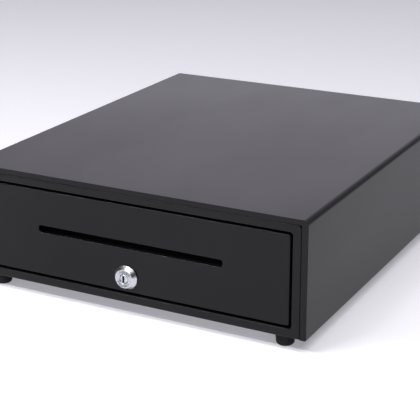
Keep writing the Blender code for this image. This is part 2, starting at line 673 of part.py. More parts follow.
def coin_tray():
    """Two rows of four scooped cups in one moulding, hollow underneath."""
    clear = 0.0004
    low = (-TILL_X + TILL_WALL + clear, TILL_FRONT + TILL_WALL + clear, TILL_LOW + TILL_WALL + GAP)
    high = (-low[0], COIN_BAY_BACK - clear, TRAY_TOP)
    thing = place("coin_tray", box_mesh("coin_tray", (low, high)), TILL_PLASTIC)
    width = (high[0] - low[0] - CUP_WALL) / COIN_COLUMNS - CUP_WALL
    length = (high[1] - low[1] - CUP_WALL) / COIN_ROWS - CUP_WALL
    radius = length / 2
    bottom = TRAY_TOP - CUP_DEPTH
    for row in range(COIN_ROWS):
        middle = low[1] + CUP_WALL + radius + row * (length + CUP_WALL)
        scoop = arc((middle, bottom + radius), radius, 180, 360, 10)
        outline = scoop + [(middle + radius, TRAY_TOP + FAR), (middle - radius, TRAY_TOP + FAR)]
        for column in range(COIN_COLUMNS):
            left = low[0] + CUP_WALL + column * (width + CUP_WALL)
            name = f"coin_tray_cup_{row}{column}"
            cut(thing, cutter(name, outline_mesh(name, outline, "YZ", left, left + width)))
    cut_boxes(thing, "underside", ((low[0] + CUP_WALL, low[1] + CUP_WALL, low[2] - FAR),
                                   (high[0] - CUP_WALL, high[1] - CUP_WALL, bottom - 0.0025)))
    return thing


def bill_clips(centres):
    """A rod through the till's walls, and on it a sprung clip for each bill bay."""
    place("clip_rod", rods_mesh("clip_rod", "X", ROD_R, ((-TILL_X, ROD_Y, ROD_Z), 2 * TILL_X)), ZINC)
    hub = turned_mesh("bill_clip", [(ROD_R + GAP, 0.007), (CLIP_HUB_R, 0.007),
                                    (CLIP_HUB_R, -0.007), (ROD_R + GAP, -0.007)], "X")
    start, half, thick = 0.0036, 0.0055, 0.0012
    tip = CLIP_REACH - half
    paddle = [(-half, -start), (half, -start)] + arc((0, -tip), half, 0, -180, 8)
    arm = outline_mesh("clip_arm", paddle, "XY", -thick, thick)
    pad = rods_mesh("clip_pad", "X", 0.0022, ((-0.0045, -tip, -0.0003), 0.009), steps=12)
    turn = (-CLIP_REST, 0, 0)
    spring = coil_mesh("clip_spring", 0.0033, 0.0004, 0.005, 4, "X")
    arm_tool = cutter("clip_arm_tool", arm)
    pad_tool = cutter("clip_pad_tool", pad)
    for index, x in enumerate(centres):
        clip = place(f"bill_clip_{index + 1}", hub.copy(), NYLON)
        cut(clip, [arm_tool, pad_tool], "UNION")
        mesh = evaluated(clip)
        clip = place(f"bill_clip_{index + 1}", mesh, NYLON, (x, ROD_Y, ROD_Z), turn)
        place(f"clip_spring_{index + 1}", spring, SPRING_STEEL, (x + 0.0075, ROD_Y, ROD_Z))


# ---- Lock --------------------------------------------------------------------------------------
def lock():
    """Cam lock: a bezelled barrel and its nut on the front, and a plug that turns a cam down
    behind the frame."""
    face = -LOCK_PROUD
    seat = PANEL_Y - GAP - Y_FRONT
    end = BARREL_END - Y_FRONT
    bore = PLUG_R + GAP
    profile = [(bore, end), (BARREL_R, end), (BARREL_R, seat), (BEZEL_R, seat),
               (BEZEL_R, seat - 0.0008), (BEZEL_FACE_R, face + 0.0003),
               (BEZEL_FACE_R - 0.0004, face), (bore, face)]
    barrel = turned_mesh("lock_barrel", profile, "Y", 32)
    place("lock_barrel", barrel, LOCK_METAL, (LOCK_X, Y_FRONT, LOCK_Z))

    corner = 0.0135
    hexagon = [(LOCK_X + corner * math.cos(math.pi * k / 3), LOCK_Z + corner * math.sin(math.pi * k / 3))
               for k in range(6)]
    near = PANEL_Y + SHEET + GAP
    nut = place("lock_nut", outline_mesh("lock_nut", hexagon, "XZ", near, near + 0.003), ZINC)
    cut_rods(nut, "bore", "Y", BARREL_R + GAP, ((LOCK_X, near - 0.005, LOCK_Z), 0.013), steps=24)

    plug_profile = [(0, end + 0.0002), (PLUG_R, end + 0.0002), (PLUG_R, face + 0.0006),
                    (PLUG_R - 0.0003, face + 0.0003), (0, face + 0.0003)]
    plug = place("lock_plug", turned_mesh("lock_plug", plug_profile, "Y", 24), LOCK_METAL,
                 (LOCK_X, Y_FRONT, LOCK_Z))
    tang = 0.002
    cut(plug, cutter("lock_plug_tang", box_mesh("tang", (
        (LOCK_X - tang, BARREL_END - 0.002, LOCK_Z - tang),
        (LOCK_X + tang, CAM_Y + CAM_THICK, LOCK_Z + tang)))), "UNION")
    cut_boxes(plug, "keyway", ((LOCK_X - 0.0008, Y_FRONT - FAR, LOCK_Z - 0.0036),
                               (LOCK_X + 0.0008, Y_FRONT + 0.004, LOCK_Z + 0.0036)))
    cut_rods(plug, "screw_bore", "Y", 0.0014, ((LOCK_X, BARREL_END - 0.005, LOCK_Z), 0.012))

    hub, half = 0.007, 0.005
    rise = math.degrees(math.asin(half / hub))
    outline = arc((LOCK_X, LOCK_Z), hub, rise, 360 - rise, 14)
    outline += arc((LOCK_X + CAM_REACH - half, LOCK_Z), half, -90, 90, 8)
    cam = place("lock_cam", outline_mesh("lock_cam", outline, "XZ", CAM_Y, CAM_Y + CAM_THICK), ZINC)
    hole = tang + GAP
    cut_boxes(cam, "hole", ((LOCK_X - hole, CAM_Y - 0.005, LOCK_Z - hole),
                            (LOCK_X + hole, CAM_Y + 0.005, LOCK_Z + hole)))
    head = CAM_Y + CAM_THICK + GAP
    screw = [(0, 0.0016), (0.0022, 0.0016), (0.0036, 0.0004), (0.0036, 0), (0.0011, 0),
             (0.0011, -0.005), (0, -0.005)]
    screw = place("cam_screw", turned_mesh("cam_screw", screw, "Y", 16), ZINC, (LOCK_X, head, LOCK_Z))
    hang("key_axis", (LOCK_X, Y_FRONT, LOCK_Z), plug, cam, screw)


# ---- Latch, ejector, switch --------------------------------------------------------------------
def latch():
    """A hook on a pin in a U bracket, pulled up by a solenoid, spring-loaded down."""
    low = FLOOR
    bracket = folded("latch_bracket", [(-BRACKET_X, BASE + 0.062), (-BRACKET_X, low),
                                       (BRACKET_X, low), (BRACKET_X, BASE + 0.062)],
                     "XZ", 0.152, 0.199, ZINC, side=-1)
    cut_boxes(bracket, "front_step", ((-0.030, 0.140, BASE + 0.042), (0.030, 0.170, BASE + 0.080)))
    cut_rods(bracket, "pin_hole", "X", ROLLER_HOLE_R, ((-0.025, LATCH_Y, LATCH_Z), 0.050))
    pin = rods_mesh("latch_pin", "X", PIN_R, ((-0.0215, LATCH_Y, LATCH_Z), 0.043))
    place("latch_pin", pin, ZINC)

    front, tip_back = HOOK_TIP
    down, up = LATCH_Z - 0.003, LATCH_Z + 0.003
    arm_half = 0.0035
    outline = [(front, HOOK_TIP_LOW + 0.001), (front + 0.001, HOOK_TIP_LOW), (tip_back, HOOK_TIP_LOW),
               (tip_back, down)]
    outline += arc((LATCH_Y, LATCH_Z), 0.005, 217, 360, 8)
    outline += arc((LATCH_Y, LATCH_Z + LATCH_ARM), arm_half, 0, 180, 8)
    outline += [(LATCH_Y - arm_half, up + 0.004), (LATCH_Y - arm_half - 0.004, up), (front, up)]
    hook = place("latch_hook", outline_mesh("latch_hook", outline, "YZ", -0.0015, 0.0015), ZINC)
    cut_rods(hook, "pin_hole", "X", ROLLER_HOLE_R, ((-0.005, LATCH_Y, LATCH_Z), 0.010))
    cut_rods(hook, "link_hole", "X", 0.0019, ((-0.005, LATCH_Y, SOLENOID_Z), 0.010))
    hang("latch_pivot", (0, LATCH_Y, LATCH_Z), hook)
    spring = coil_mesh("latch_spring", 0.0034, 0.0004, 0.006, 5, "X")
    place("latch_spring", spring, SPRING_STEEL, (0.0025, LATCH_Y, LATCH_Z))


def solenoid():
    """A coil in an open frame between the bracket's cheeks, and its forked plunger."""
    half = BRACKET_X - SHEET - GAP
    near, far, top = 0.1740, 0.1985, BASE + 0.061
    floor = SOLENOID_Z - 0.0105
    frame = folded("solenoid_frame", [(near, top), (near, floor), (far, floor), (far, top)],
                   "YZ", -half, half, ZINC, side=1)
    cut_rods(frame, "plunger_hole", "Y", 0.0041, ((0, near - 0.004, SOLENOID_Z), 0.008))
    start, end = near + SHEET + GAP, far - SHEET - GAP
    length, bobbin, wound, bore = end - start, 0.0089, 0.0080, 0.0039
    profile = [(bore, length), (bobbin, length), (bobbin, length - 0.0015),
               (wound, length - 0.0018), (wound, 0.0018), (bobbin, 0.0015), (bobbin, 0), (bore, 0)]
    place("solenoid_coil", turned_mesh("solenoid_coil", profile, "Y", 20), COIL_WRAP,
          (0, start, SOLENOID_Z))

    plunger = place("solenoid_plunger", rods_mesh("solenoid_plunger", "Y", 0.0035,
                                                  ((0, 0.160, SOLENOID_Z), 0.035)), ZINC)
    cut_boxes(plunger, "fork", ((-0.002, 0.150, SOLENOID_Z - 0.005),
                                (0.002, 0.1700, SOLENOID_Z + 0.005)))
    cut_rods(plunger, "pin_hole", "X", 0.0015, ((-0.005, LATCH_Y, SOLENOID_Z), 0.010))
    pin = place("plunger_pin", rods_mesh("plunger_pin", "X", 0.0012,
                                         ((-0.0042, LATCH_Y, SOLENOID_Z), 0.0084), steps=12), ZINC)
    hang("plunger_slide", (0, LATCH_Y, SOLENOID_Z), plunger, pin)


def ejector():
    """A sprung plunger that pushes the drawer out when the latch lets go."""
    half = 0.008
    guide = folded("eject_guide", [(0.180, FLOOR), (EJECT_WALL_Y, FLOOR),
                                   (EJECT_WALL_Y, EJECT_Z + 0.010)],
                   "YZ", EJECT_X - half, EJECT_X + half, ZINC, side=-1)
    cut_rods(guide, "hole", "Y", 0.0034, ((EJECT_X, EJECT_WALL_Y - 0.005, EJECT_Z), 0.010))
    tip = PAN_BACK + 0.0005
    head = tip + 0.003
    profile = [(0, 0.172 - tip), (0.003, 0.172 - tip), (0.003, head - tip), (0.006, head - tip),
               (0.006, 0.0008), (0.005, 0), (0, 0)]
    place("eject_plunger", turned_mesh("eject_plunger", profile, "Y"), ZINC,
          (EJECT_X, tip, EJECT_Z))
    start = head + 0.0024
    spring = coil_mesh("eject_spring", 0.0046, 0.0005, EJECT_WALL_Y - SHEET - 0.001 - start, 6, "Y")
    place("eject_spring", spring, SPRING_STEEL, (EJECT_X, start, EJECT_Z))


def drawer_switch():
    """A small switch whose leaf the shut drawer leans on."""
    half, lever_x = 0.010, SWITCH_X - 0.009
    place("switch_body", box_mesh("switch_body", (
        (SWITCH_X - half, SWITCH_Y, FLOOR), (SWITCH_X + half, SWITCH_Y + 0.0065, BASE + 0.019))),
        SOCKET_PLASTIC)
    path = [(lever_x, SWITCH_Y - 0.0010), (SWITCH_X + 0.003, SWITCH_Y - 0.0050),
            (SWITCH_X + 0.0065, PAN_BACK + 0.0012), (SWITCH_X + 0.010, SWITCH_Y - 0.0050)]
    lever = folded("switch_lever", path, "XY", BASE + 0.009, BASE + 0.014, SPRING_STEEL,
                   thickness=0.0004, side=0)
    hang("switch_pivot", (lever_x, SWITCH_Y - 0.0010, BASE + 0.0115), lever)


# ---- Assembly ----------------------------------------------------------------------------------
def build():
    shell = cover()
    surround = front_frame()
    plate = base_plate()
    panel = rear_panel()
    feet(plate, surround)
    rear_screws(shell, panel)
    inlet_socket()
    rolling_gear()
    drawer_front()
    drawer_pan()
    striker()
    centres = till()[1]
    coin_tray()
    bill_clips(centres)
    lock()
    latch()
    solenoid()
    ejector()
    drawer_switch()


build()
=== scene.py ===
"""Looks of a compact cash drawer: powder-coated case and front, turned cam lock, rubber feet, and
inside it the till, its sprung clips, the rollers and the latch.

Everything is in metres in the CAD frame: +Z up, the front faces -Y, feet on z = 0. Each piece takes
its place and size from the CAD node that it stands for.
"""
import json
import math

import bmesh
import bpy
from mathutils import Matrix, Vector


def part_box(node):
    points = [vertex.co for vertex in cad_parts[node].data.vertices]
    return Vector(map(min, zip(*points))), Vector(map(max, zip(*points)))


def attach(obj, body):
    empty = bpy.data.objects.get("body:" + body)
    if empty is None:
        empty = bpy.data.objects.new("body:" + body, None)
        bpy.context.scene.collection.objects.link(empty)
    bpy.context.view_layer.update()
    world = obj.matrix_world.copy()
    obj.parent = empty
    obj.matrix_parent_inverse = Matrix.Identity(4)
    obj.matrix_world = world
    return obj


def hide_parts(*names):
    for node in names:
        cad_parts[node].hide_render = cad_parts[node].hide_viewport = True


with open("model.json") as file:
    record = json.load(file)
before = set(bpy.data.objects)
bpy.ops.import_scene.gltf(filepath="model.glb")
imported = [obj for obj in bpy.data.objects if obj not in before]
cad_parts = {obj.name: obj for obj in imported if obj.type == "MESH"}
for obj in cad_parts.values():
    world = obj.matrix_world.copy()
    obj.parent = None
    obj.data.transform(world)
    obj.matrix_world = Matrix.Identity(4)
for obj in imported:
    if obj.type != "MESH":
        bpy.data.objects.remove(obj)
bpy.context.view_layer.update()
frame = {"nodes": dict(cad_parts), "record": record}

SHEET = 0.0012          # steel sheet
GAP = 0.0003            # between pieces that touch
FAR = 0.02              # how far a cutter runs past what it cuts
TINY = 0.0002           # slack when an edge is picked by its place
SLOT_X, SLOT_HALF = -0.0010, 0.0957              # media slot: its middle and half width
SLOT_LOW, SLOT_HIGH = 0.0527, 0.0594             # and its edges, above the case's underside
CORNERS = ("front_left", "front_right", "rear_left", "rear_right")
TILL_WALL = 0.002
PIN_HOLE, LOCK_HOLE = 0.0023, 0.0093             # radii of the holes for 4 mm pins and the lock
CLIP_REST = math.radians(25)      # how far a clip hangs below level
HANDS = (("left", -1), ("right", 1))
HALF_TURN = Matrix.Rotation(math.pi, 4, "Z")
AXIS_TURN = {"X": Matrix.Rotation(math.pi / 2, 4, "Y"), "Y": Matrix.Rotation(-math.pi / 2, 4, "X"),
             "Z": Matrix.Identity(4)}
CASE_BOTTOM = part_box("cover")[0][2]
BODY_OF = {node: body for body, members in frame["record"]["behaviour"]["bodies"].items()
           for node in members}
SLOT_OF = {part["node"]: part["material_slot"] for part in frame["record"]["subparts"]}
JOINT = {joint["name"]: joint for joint in frame["record"]["behaviour"]["joints"]}
MATERIALS = {}


# ---- Shader helpers ----
class Finish:
    """A material in the making: a Principled BSDF and the nodes that feed it."""

    def __init__(self, name, colour, roughness, metallic=0.0, **sockets):
        MATERIALS[name] = bpy.data.materials.new(name)
        MATERIALS[name].use_nodes = True
        self.tree = MATERIALS[name].node_tree
        self.shader = self.tree.nodes["Principled BSDF"]
        self.set("Base Color", (*colour, 1.0))
        self.set("Roughness", roughness)
        self.set("Metallic", metallic)
        for socket, value in sockets.items():
            self.set(socket.replace("_", " "), value)
        self.place = self.tree.nodes.new("ShaderNodeTexCoord").outputs["Object"]
        self.normal = None

    def set(self, socket, value):
        self.shader.inputs[socket].default_value = value

    def add(self, kind, **inputs):
        made = self.tree.nodes.new(kind)
        for name, value in inputs.items():
            self.feed(made.inputs[name.replace("_", " ")], value)
        return made

    def feed(self, socket, value):
        if isinstance(value, bpy.types.NodeSocket):
            self.tree.links.new(value, socket)
        else:
            socket.default_value = value

    def stretch(self, x, y, z):
        """The object's coordinates, scaled along each axis."""
        mapping = self.add("ShaderNodeMapping", Vector=self.place)
        mapping.inputs["Scale"].default_value = (x, y, z)
        return mapping.outputs["Vector"]

    def noise(self, scale, detail=2.0, where=None, rough=0.55):
        made = self.add("ShaderNodeTexNoise", Vector=where or self.place, Scale=scale,
                        Detail=detail, Roughness=rough)
        return made.outputs["Fac"]

    def remap(self, value, low, high, to_low=0.0, to_high=1.0):
        made = self.add("ShaderNodeMapRange", Value=value)
        for name, number in (("From Min", low), ("From Max", high),
                             ("To Min", to_low), ("To Max", to_high)):
            made.inputs[name].default_value = number
        return made.outputs["Result"]

    def math(self, operation, first, second=0.0):
        made = self.tree.nodes.new("ShaderNodeMath")
        made.operation = operation
        self.feed(made.inputs[0], first)
        self.feed(made.inputs[1], second)
        return made.outputs["Value"]

    def blend(self, first, second, share):
        """A weighted mean; share is the first one's weight."""
        return self.math("ADD", self.math("MULTIPLY", first, share),
                         self.math("MULTIPLY", second, 1.0 - share))

    def tint(self, factor, first, second):
        """The base colour runs from one colour to another."""
        made = self.tree.nodes.new("ShaderNodeMix")
        made.data_type = "RGBA"
        self.feed(made.inputs[0], factor)
        self.feed(made.inputs[6], (*first, 1.0))
        self.feed(made.inputs[7], (*second, 1.0))
        self.tree.links.new(made.outputs[2], self.shader.inputs["Base Color"])
        return made.outputs[2]

    def rough(self, value):
        self.tree.links.new(value, self.shader.inputs["Roughness"])

    def bump(self, height, strength, distance):
        """Relief, added on top of the relief before it."""
        made = self.add("ShaderNodeBump", Height=height, Strength=strength, Distance=distance)
        if self.normal:
            self.tree.links.new(self.normal, made.inputs["Normal"])
        self.normal = made.outputs["Normal"]
        self.tree.links.new(self.normal, self.shader.inputs["Normal"])


def powder_coat(name, dark, light, low, high, grain, relief):
    """Baked powder paint: a fine pebble, a slow orange peel, and faint handling marks."""
    finish = Finish(name, dark, low, Specular_IOR_Level=0.17)
    shade = finish.blend(finish.noise(9.0, 4.0), finish.noise(2600.0, 1.0), 0.7)
    finish.tint(finish.remap(shade, 0.35, 0.65), dark, light)
    wiped = finish.noise(5.0, 5.0, finish.stretch(1.0, 0.35, 1.0), 0.6)
    finish.rough(finish.remap(wiped, 0.3, 0.7, low, high))
    finish.bump(finish.noise(grain * 0.22), relief * 0.5, 0.00030)
    finish.bump(finish.noise(grain), relief, 0.00006)


def speckled(name, base, first, second, rough, scales, relief, low=0.3, **shader):
    """Colour, sheen and a fine relief that each follow a noise of their own scale."""
    finish = Finish(name, base, **shader)
    colour_scale, sheen_scale, relief_scale = scales
    finish.tint(finish.remap(finish.noise(colour_scale, 3.0), low, 0.7), first, second)
    finish.rough(finish.remap(finish.noise(sheen_scale), 0.3, 0.7, *rough))
    finish.bump(finish.noise(relief_scale), *relief)


def zinc_sheet(name, base, bright):
    """Galvanised sheet: faint crystals, a rolling grain along Y, and handling dulls."""
    finish = Finish(name, base, 0.36, 1.0)
    crystals = finish.add("ShaderNodeTexVoronoi", Vector=finish.place, Scale=95.0)
    split = finish.add("ShaderNodeSeparateColor", Color=crystals.outputs["Color"])
    grain = finish.noise(30.0, 3.0, finish.stretch(26.0, 1.0, 26.0))
    mixed = finish.blend(split.outputs[0], grain, 0.30)
    finish.tint(mixed, base, bright)
    finish.rough(finish.remap(mixed, 0.2, 0.8, 0.46, 0.30))
    finish.bump(grain, 0.12, 0.00006)


def turned_chrome(name, ring_density):
    """Plated turned metal: fine concentric tool marks about the lock's own axis."""
    finish = Finish(name, (0.80, 0.80, 0.81), 0.36, 1.0)
    split = finish.add("ShaderNodeSeparateXYZ", Vector=finish.place)
    across, up = split.outputs["X"], split.outputs["Z"]
    radius = finish.math("SQRT", finish.math("ADD", finish.math("MULTIPLY", across, across),
                                             finish.math("MULTIPLY", up, up)))
    rings = finish.math("SINE", finish.math("MULTIPLY", radius, ring_density))
    finish.bump(rings, 0.12, 0.00002)
    smears = finish.noise(300.0, 3.0)
    finish.tint(finish.remap(smears, 0.3, 0.7), (0.52, 0.54, 0.57), (0.61, 0.63, 0.66))
    finish.rough(finish.remap(smears, 0.3, 0.7, 0.22, 0.32))


def textured_plastic(name, dark, light, low, high):
    """Moulded ABS with a spark-eroded texture and dull scuffs."""
    finish = Finish(name, dark, low, Specular_IOR_Level=0.5)
    scuffs = finish.noise(26.0, 6.0, finish.stretch(1.0, 2.5, 1.0), 0.65)
    finish.tint(finish.remap(scuffs, 0.45, 0.75), dark, light)
    finish.rough(finish.remap(scuffs, 0.35, 0.7, low, high))
    finish.bump(finish.noise(1500.0), 0.30, 0.00006)


def winding(name):
    """Varnished copper winding under clear tape: fine bands along the coil's axis."""
    finish = Finish(name, (0.42, 0.20, 0.06), 0.35, 0.0, Coat_Weight=0.4, Coat_Roughness=0.15)
    split = finish.add("ShaderNodeSeparateXYZ", Vector=finish.place)
    bands = finish.math("SINE", finish.math("MULTIPLY", split.outputs["Y"], 12000.0))
    finish.tint(finish.remap(bands, -1.0, 1.0), (0.22, 0.09, 0.03), (0.55, 0.27, 0.09))
    finish.bump(bands, 0.5, 0.0001)


def gold_contact(name):
    finish = Finish(name, (0.83, 0.60, 0.24), 0.25, 1.0)
    finish.rough(finish.remap(finish.noise(1800.0), 0.3, 0.7, 0.18, 0.35))


def pale_floor(name):
    """A matt studio sweep, nearly white, with the faintest unevenness."""
    finish = Finish(name, (0.86, 0.865, 0.875), 0.75, Specular_IOR_Level=0.25)
    glow = finish.tint(finish.noise(1.2), (0.80, 0.79, 0.84), (0.83, 0.82, 0.87))
    finish.feed(finish.shader.inputs["Emission Color"], glow)
    finish.set("Emission Strength", 0.30)
    finish.bump(finish.noise(300.0), 0.03, 0.0002)


def make_materials():
    powder_coat("case_paint", (0.0070, 0.0070, 0.0082), (0.0105, 0.0105, 0.0120),
                0.27, 0.34, 1500.0, 0.16)
    powder_coat("front_paint", (0.0068, 0.0068, 0.0082), (0.0098, 0.0098, 0.0114),
                0.14, 0.19, 1700.0, 0.09)
    speckled("rubber", (0.012, 0.012, 0.013), (0.004, 0.004, 0.005), (0.011, 0.011, 0.012),
             (0.62, 0.85), (160.0, 420.0, 1900.0), (0.35, 0.00008), 0.35,
             roughness=0.72, Specular_IOR_Level=0.2)
    speckled("nylon", (0.70, 0.68, 0.62), (0.62, 0.60, 0.54), (0.76, 0.74, 0.69),
             (0.36, 0.52), (240.0, 500.0, 900.0), (0.15, 0.00005),
             roughness=0.42, Subsurface_Weight=0.15, Subsurface_Scale=0.002)
    speckled("spring_steel", (0.42, 0.42, 0.43), (0.34, 0.34, 0.35), (0.55, 0.55, 0.56),
             (0.20, 0.38), (900.0, 1600.0, 2400.0), (0.15, 0.00002),
             roughness=0.28, metallic=1.0)
    textured_plastic("till_plastic", (0.016, 0.016, 0.018), (0.030, 0.030, 0.032), 0.42, 0.56)
    textured_plastic("clip_plastic", (0.022, 0.022, 0.024), (0.045, 0.045, 0.047), 0.28, 0.40)
    textured_plastic("socket_plastic", (0.012, 0.012, 0.013), (0.020, 0.020, 0.021), 0.30, 0.42)
    zinc_sheet("zinc", (0.36, 0.37, 0.39), (0.50, 0.51, 0.53))
    turned_chrome("lock_metal", 9000.0)
    winding("coil_wrap")
    gold_contact("contact")
    pale_floor("floor")


# ---- Mesh helpers ----
def to_mesh(bm, name="mesh"):
    bmesh.ops.recalc_face_normals(bm, faces=bm.faces)
    mesh = bpy.data.meshes.new(name)
    bm.to_mesh(mesh)
    bm.free()
    return mesh


def block(bm, low, high):
    low, high = Vector(low), Vector(high)
    matrix = Matrix.Translation((low + high) / 2) @ Matrix.Diagonal((*(high - low), 1))
    bmesh.ops.create_cube(bm, size=1.0, matrix=matrix)


def blocks(*corners):
    bm = bmesh.new()
    for low, high in corners:
        block(bm, low, high)
    return to_mesh(bm)


def soft_block(low, high, *rounds):
    """A box whose edges are rounded in turn; each round is (test, radius, steps), and its test
    takes an edge's middle point and direction."""
    bm = bmesh.new()
    block(bm, low, high)
    for test, radius, steps in rounds:
        edges = [e for e in bm.edges
                 if test((e.verts[0].co + e.verts[1].co) / 2, e.verts[1].co - e.verts[0].co)]
        bmesh.ops.bevel(bm, geom=edges, offset=radius, segments=steps, profile=0.5,
                        affect="EDGES", clamp_overlap=True)
    return to_mesh(bm)


def arc(centre, radius, start, end, steps):
    angles = [math.radians(start + (end - start) * i / steps) for i in range(steps + 1)]
    return [(centre[0] + radius * math.cos(a), centre[1] + radius * math.sin(a)) for a in angles]


def rounded(low_a, high_a, low_b, high_b, radius, steps):
    """A rectangle's outline with round corners."""
    radius = min(radius, (high_a - low_a) / 2 - 0.00001, (high_b - low_b) / 2 - 0.00001)
    corners = ((high_a - radius, high_b - radius, 0), (low_a + radius, high_b - radius, 90),
               (low_a + radius, low_b + radius, 180), (high_a - radius, low_b + radius, 270))
    return [p for a, b, turn in corners for p in arc((a, b), radius, turn, turn + 90, steps)]


def quarter(radius, steps=5):
    """The steps of a quarter round, each as (inset from its wall, rise from its floor)."""
    turns = [math.pi / 2 * k / steps for k in range(steps + 1)]
    return [(radius * (1 - math.sin(a)), radius * (1 - math.cos(a))) for a in turns]


def in_plane(plane, a, b, c):
    """A point from two coordinates in a plane and one across it."""
    return {"XZ": (a, c, b), "YZ": (c, a, b), "XY": (a, b, c)}[plane]


def skin(bm, loops):
    """Quads between loops of equal count, and a face over each end."""
    count = len(loops[0])
    for first, second in zip(loops, loops[1:]):
        for i in range(count):
            j = (i + 1) % count
            bm.faces.new((first[i], first[j], second[j], second[i]))
    bm.faces.new(loops[0])
    bm.faces.new(loops[-1])
    return to_mesh(bm)


def loft(rings, plane):
    """A solid through outlines of equal count; each ring is (outline, place across the plane)."""
    bm = bmesh.new()
    return skin(bm, [[bm.verts.new(in_plane(plane, a, b, across)) for a, b in outline]
                     for outline, across in rings])


def prism(outline, plane, low, high):
    return loft([(outline, low), (outline, high)], plane)


def turned(profile, axis, steps):
    """A profile of (radius, height) points turned about an axis; off-axis ends close as a ring."""
    bm = bmesh.new()
    closed = profile[0][0] > 0
    turns = [2 * math.pi * k / steps for k in range(steps)]
    loops = [[bm.verts.new((0, 0, h))] if r == 0 else
             [bm.verts.new((r * math.cos(a), r * math.sin(a), h)) for a in turns]
             for r, h in profile]
    pairs = list(zip(loops, loops[1:])) + ([(loops[-1], loops[0])] if closed else [])
    for first, second in pairs:
        for i in range(steps):
            j = (i + 1) % steps
            corners = [first[i % len(first)], first[j % len(first)],
                       second[j % len(second)], second[i % len(second)]]
            unique = list(dict.fromkeys(corners))
            if len(unique) > 2:
                bm.faces.new(unique)
    mesh = to_mesh(bm)
    mesh.transform(AXIS_TURN[axis])
    return mesh


def tube(points, radius, sides):
    """A round wire along points, with flat ends."""
    bm = bmesh.new()
    points = [Vector(p) for p in points]
    tangent = (points[1] - points[0]).normalized()
    side = tangent.orthogonal().normalized()
    loops = []
    for index, point in enumerate(points):
        ahead = points[min(index + 1, len(points) - 1)] - points[max(index - 1, 0)]
        ahead.normalize()
        side = (side - ahead * side.dot(ahead)).normalized()
        other = ahead.cross(side)
        loops.append([bm.verts.new(point + radius * (side * math.cos(a) + other * math.sin(a)))
                      for a in (2 * math.pi * k / sides for k in range(sides))])
    return skin(bm, loops)


def helix(radius, wire, length, turns, axis, steps=20, lead=()):
    """A coil spring of round wire, with its ends wound close; lead points go before it."""
    points = [Vector(p) for p in lead]
    count = int(turns * steps)
    for k in range(count + 1):
        share = k / count
        eased = share - math.sin(2 * math.pi * share) / (2 * math.pi) * 0.35
        angle = 2 * math.pi * turns * share
        points.append(Vector((radius * math.cos(angle), radius * math.sin(angle),
                              wire + (length - 2 * wire) * eased)))
    coil = tube(points, wire, 8)
    coil.transform(AXIS_TURN[axis])
    return coil


def bent(path, plane, low, high, thickness=SHEET, bend=0.0012, steps=5):
    """Sheet metal: a path through the sheet's middle, thickened, with a round bend at each corner."""
    points = [Vector(p) for p in path]
    spine = [points[0]]
    for before, corner, after in zip(points, points[1:], points[2:]):
        into, out = (corner - before).normalized(), (after - corner).normalized()
        turn = into.angle_signed(out)
        reach = bend * math.tan(abs(turn) / 2)
        start = corner - into * reach
        side = Vector((-into.y, into.x)) * (-1 if turn > 0 else 1)
        centre = start + side * bend
        arm = start - centre
        for k in range(steps + 1):
            angle = -turn * k / steps
            spine.append(centre + Vector((arm.x * math.cos(angle) - arm.y * math.sin(angle),
                                          arm.x * math.sin(angle) + arm.y * math.cos(angle))))
    spine.append(points[-1])
    left, right = [], []
    for k, point in enumerate(spine):
        ahead = (spine[min(k + 1, len(spine) - 1)] - spine[max(k - 1, 0)]).normalized()
        side = Vector((-ahead.y, ahead.x)) * thickness / 2
        left.append(tuple(point + side))
        right.append(tuple(point - side))
    return prism(left + right[::-1], plane, low, high)


def rod(radius, length, axis="X", chamfer=0.0003, steps=32):
    """A round bar centred on the origin, with chamfered ends."""
    half = length / 2
    return turned([(0, half), (radius - chamfer, half), (radius, half - chamfer),
                   (radius, chamfer - half), (radius - chamfer, -half), (0, -half)], axis, steps)


def drill(radius, depth, centre, axis="Y", steps=28):
    return moved(turned([(0, depth / 2), (radius, depth / 2), (radius, -depth / 2),
                         (0, -depth / 2)], axis, steps), centre)


def placed(name, data, location=(0, 0, 0)):
    thing = bpy.data.objects.new(name, data)
    thing.location = location
    bpy.context.scene.collection.objects.link(thing)
    return thing


def minus(mesh, *cuts, join=(), bevel=0.0002, bevel_steps=2, angle=40):
    """A mesh with others joined to it, then cut by others, then with its sharp edges bevelled."""
    thing = placed("work", mesh)
    tools = [placed("tool", tool) for tool in (*join, *cuts)]
    for index, tool in enumerate(tools):
        boolean = thing.modifiers.new("boolean", "BOOLEAN")
        boolean.operation = "UNION" if index < len(join) else "DIFFERENCE"
        boolean.object = tool
    if bevel:
        soften = thing.modifiers.new("bevel", "BEVEL")
        soften.width = bevel
        soften.segments = bevel_steps
        soften.limit_method = "ANGLE"
        soften.angle_limit = math.radians(angle)
        soften.use_clamp_overlap = True
        soften.miter_outer = "MITER_ARC"
    bpy.context.view_layer.update()
    graph = bpy.context.evaluated_depsgraph_get()
    result = bpy.data.meshes.new_from_object(thing.evaluated_get(graph))
    for used in [thing, *tools]:
        bpy.data.objects.remove(used, do_unlink=True)
    return result


def joined(*meshes):
    """Separate bodies in one mesh."""
    bm = bmesh.new()
    for mesh in meshes:
        bm.from_mesh(mesh)
    return to_mesh(bm)


def moved(mesh, location, turn=None):
    copy = mesh.copy()
    copy.transform(Matrix.Translation(location) @ (turn or Matrix.Identity(4)))
    return copy


def piece(node, kind, mesh, slot=None, location=(0, 0, 0), smooth=32, added=False, name=None):
    """A finished piece that rides on a node's body and, unless it is added, stands for the node."""
    mesh.name = name or f"{node}_{kind}"
    mesh.materials.clear()
    slot = slot or SLOT_OF[node]
    mesh.materials.append(MATERIALS[slot])
    mesh.shade_smooth()
    mesh.set_sharp_from_angle(angle=math.radians(smooth))
    thing = placed(mesh.name, mesh, location)
    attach(thing, BODY_OF[node])
    if not added:
        thing.modifiers.new("normals", "WEIGHTED_NORMAL").keep_sharp = True
        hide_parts(node)
    return thing


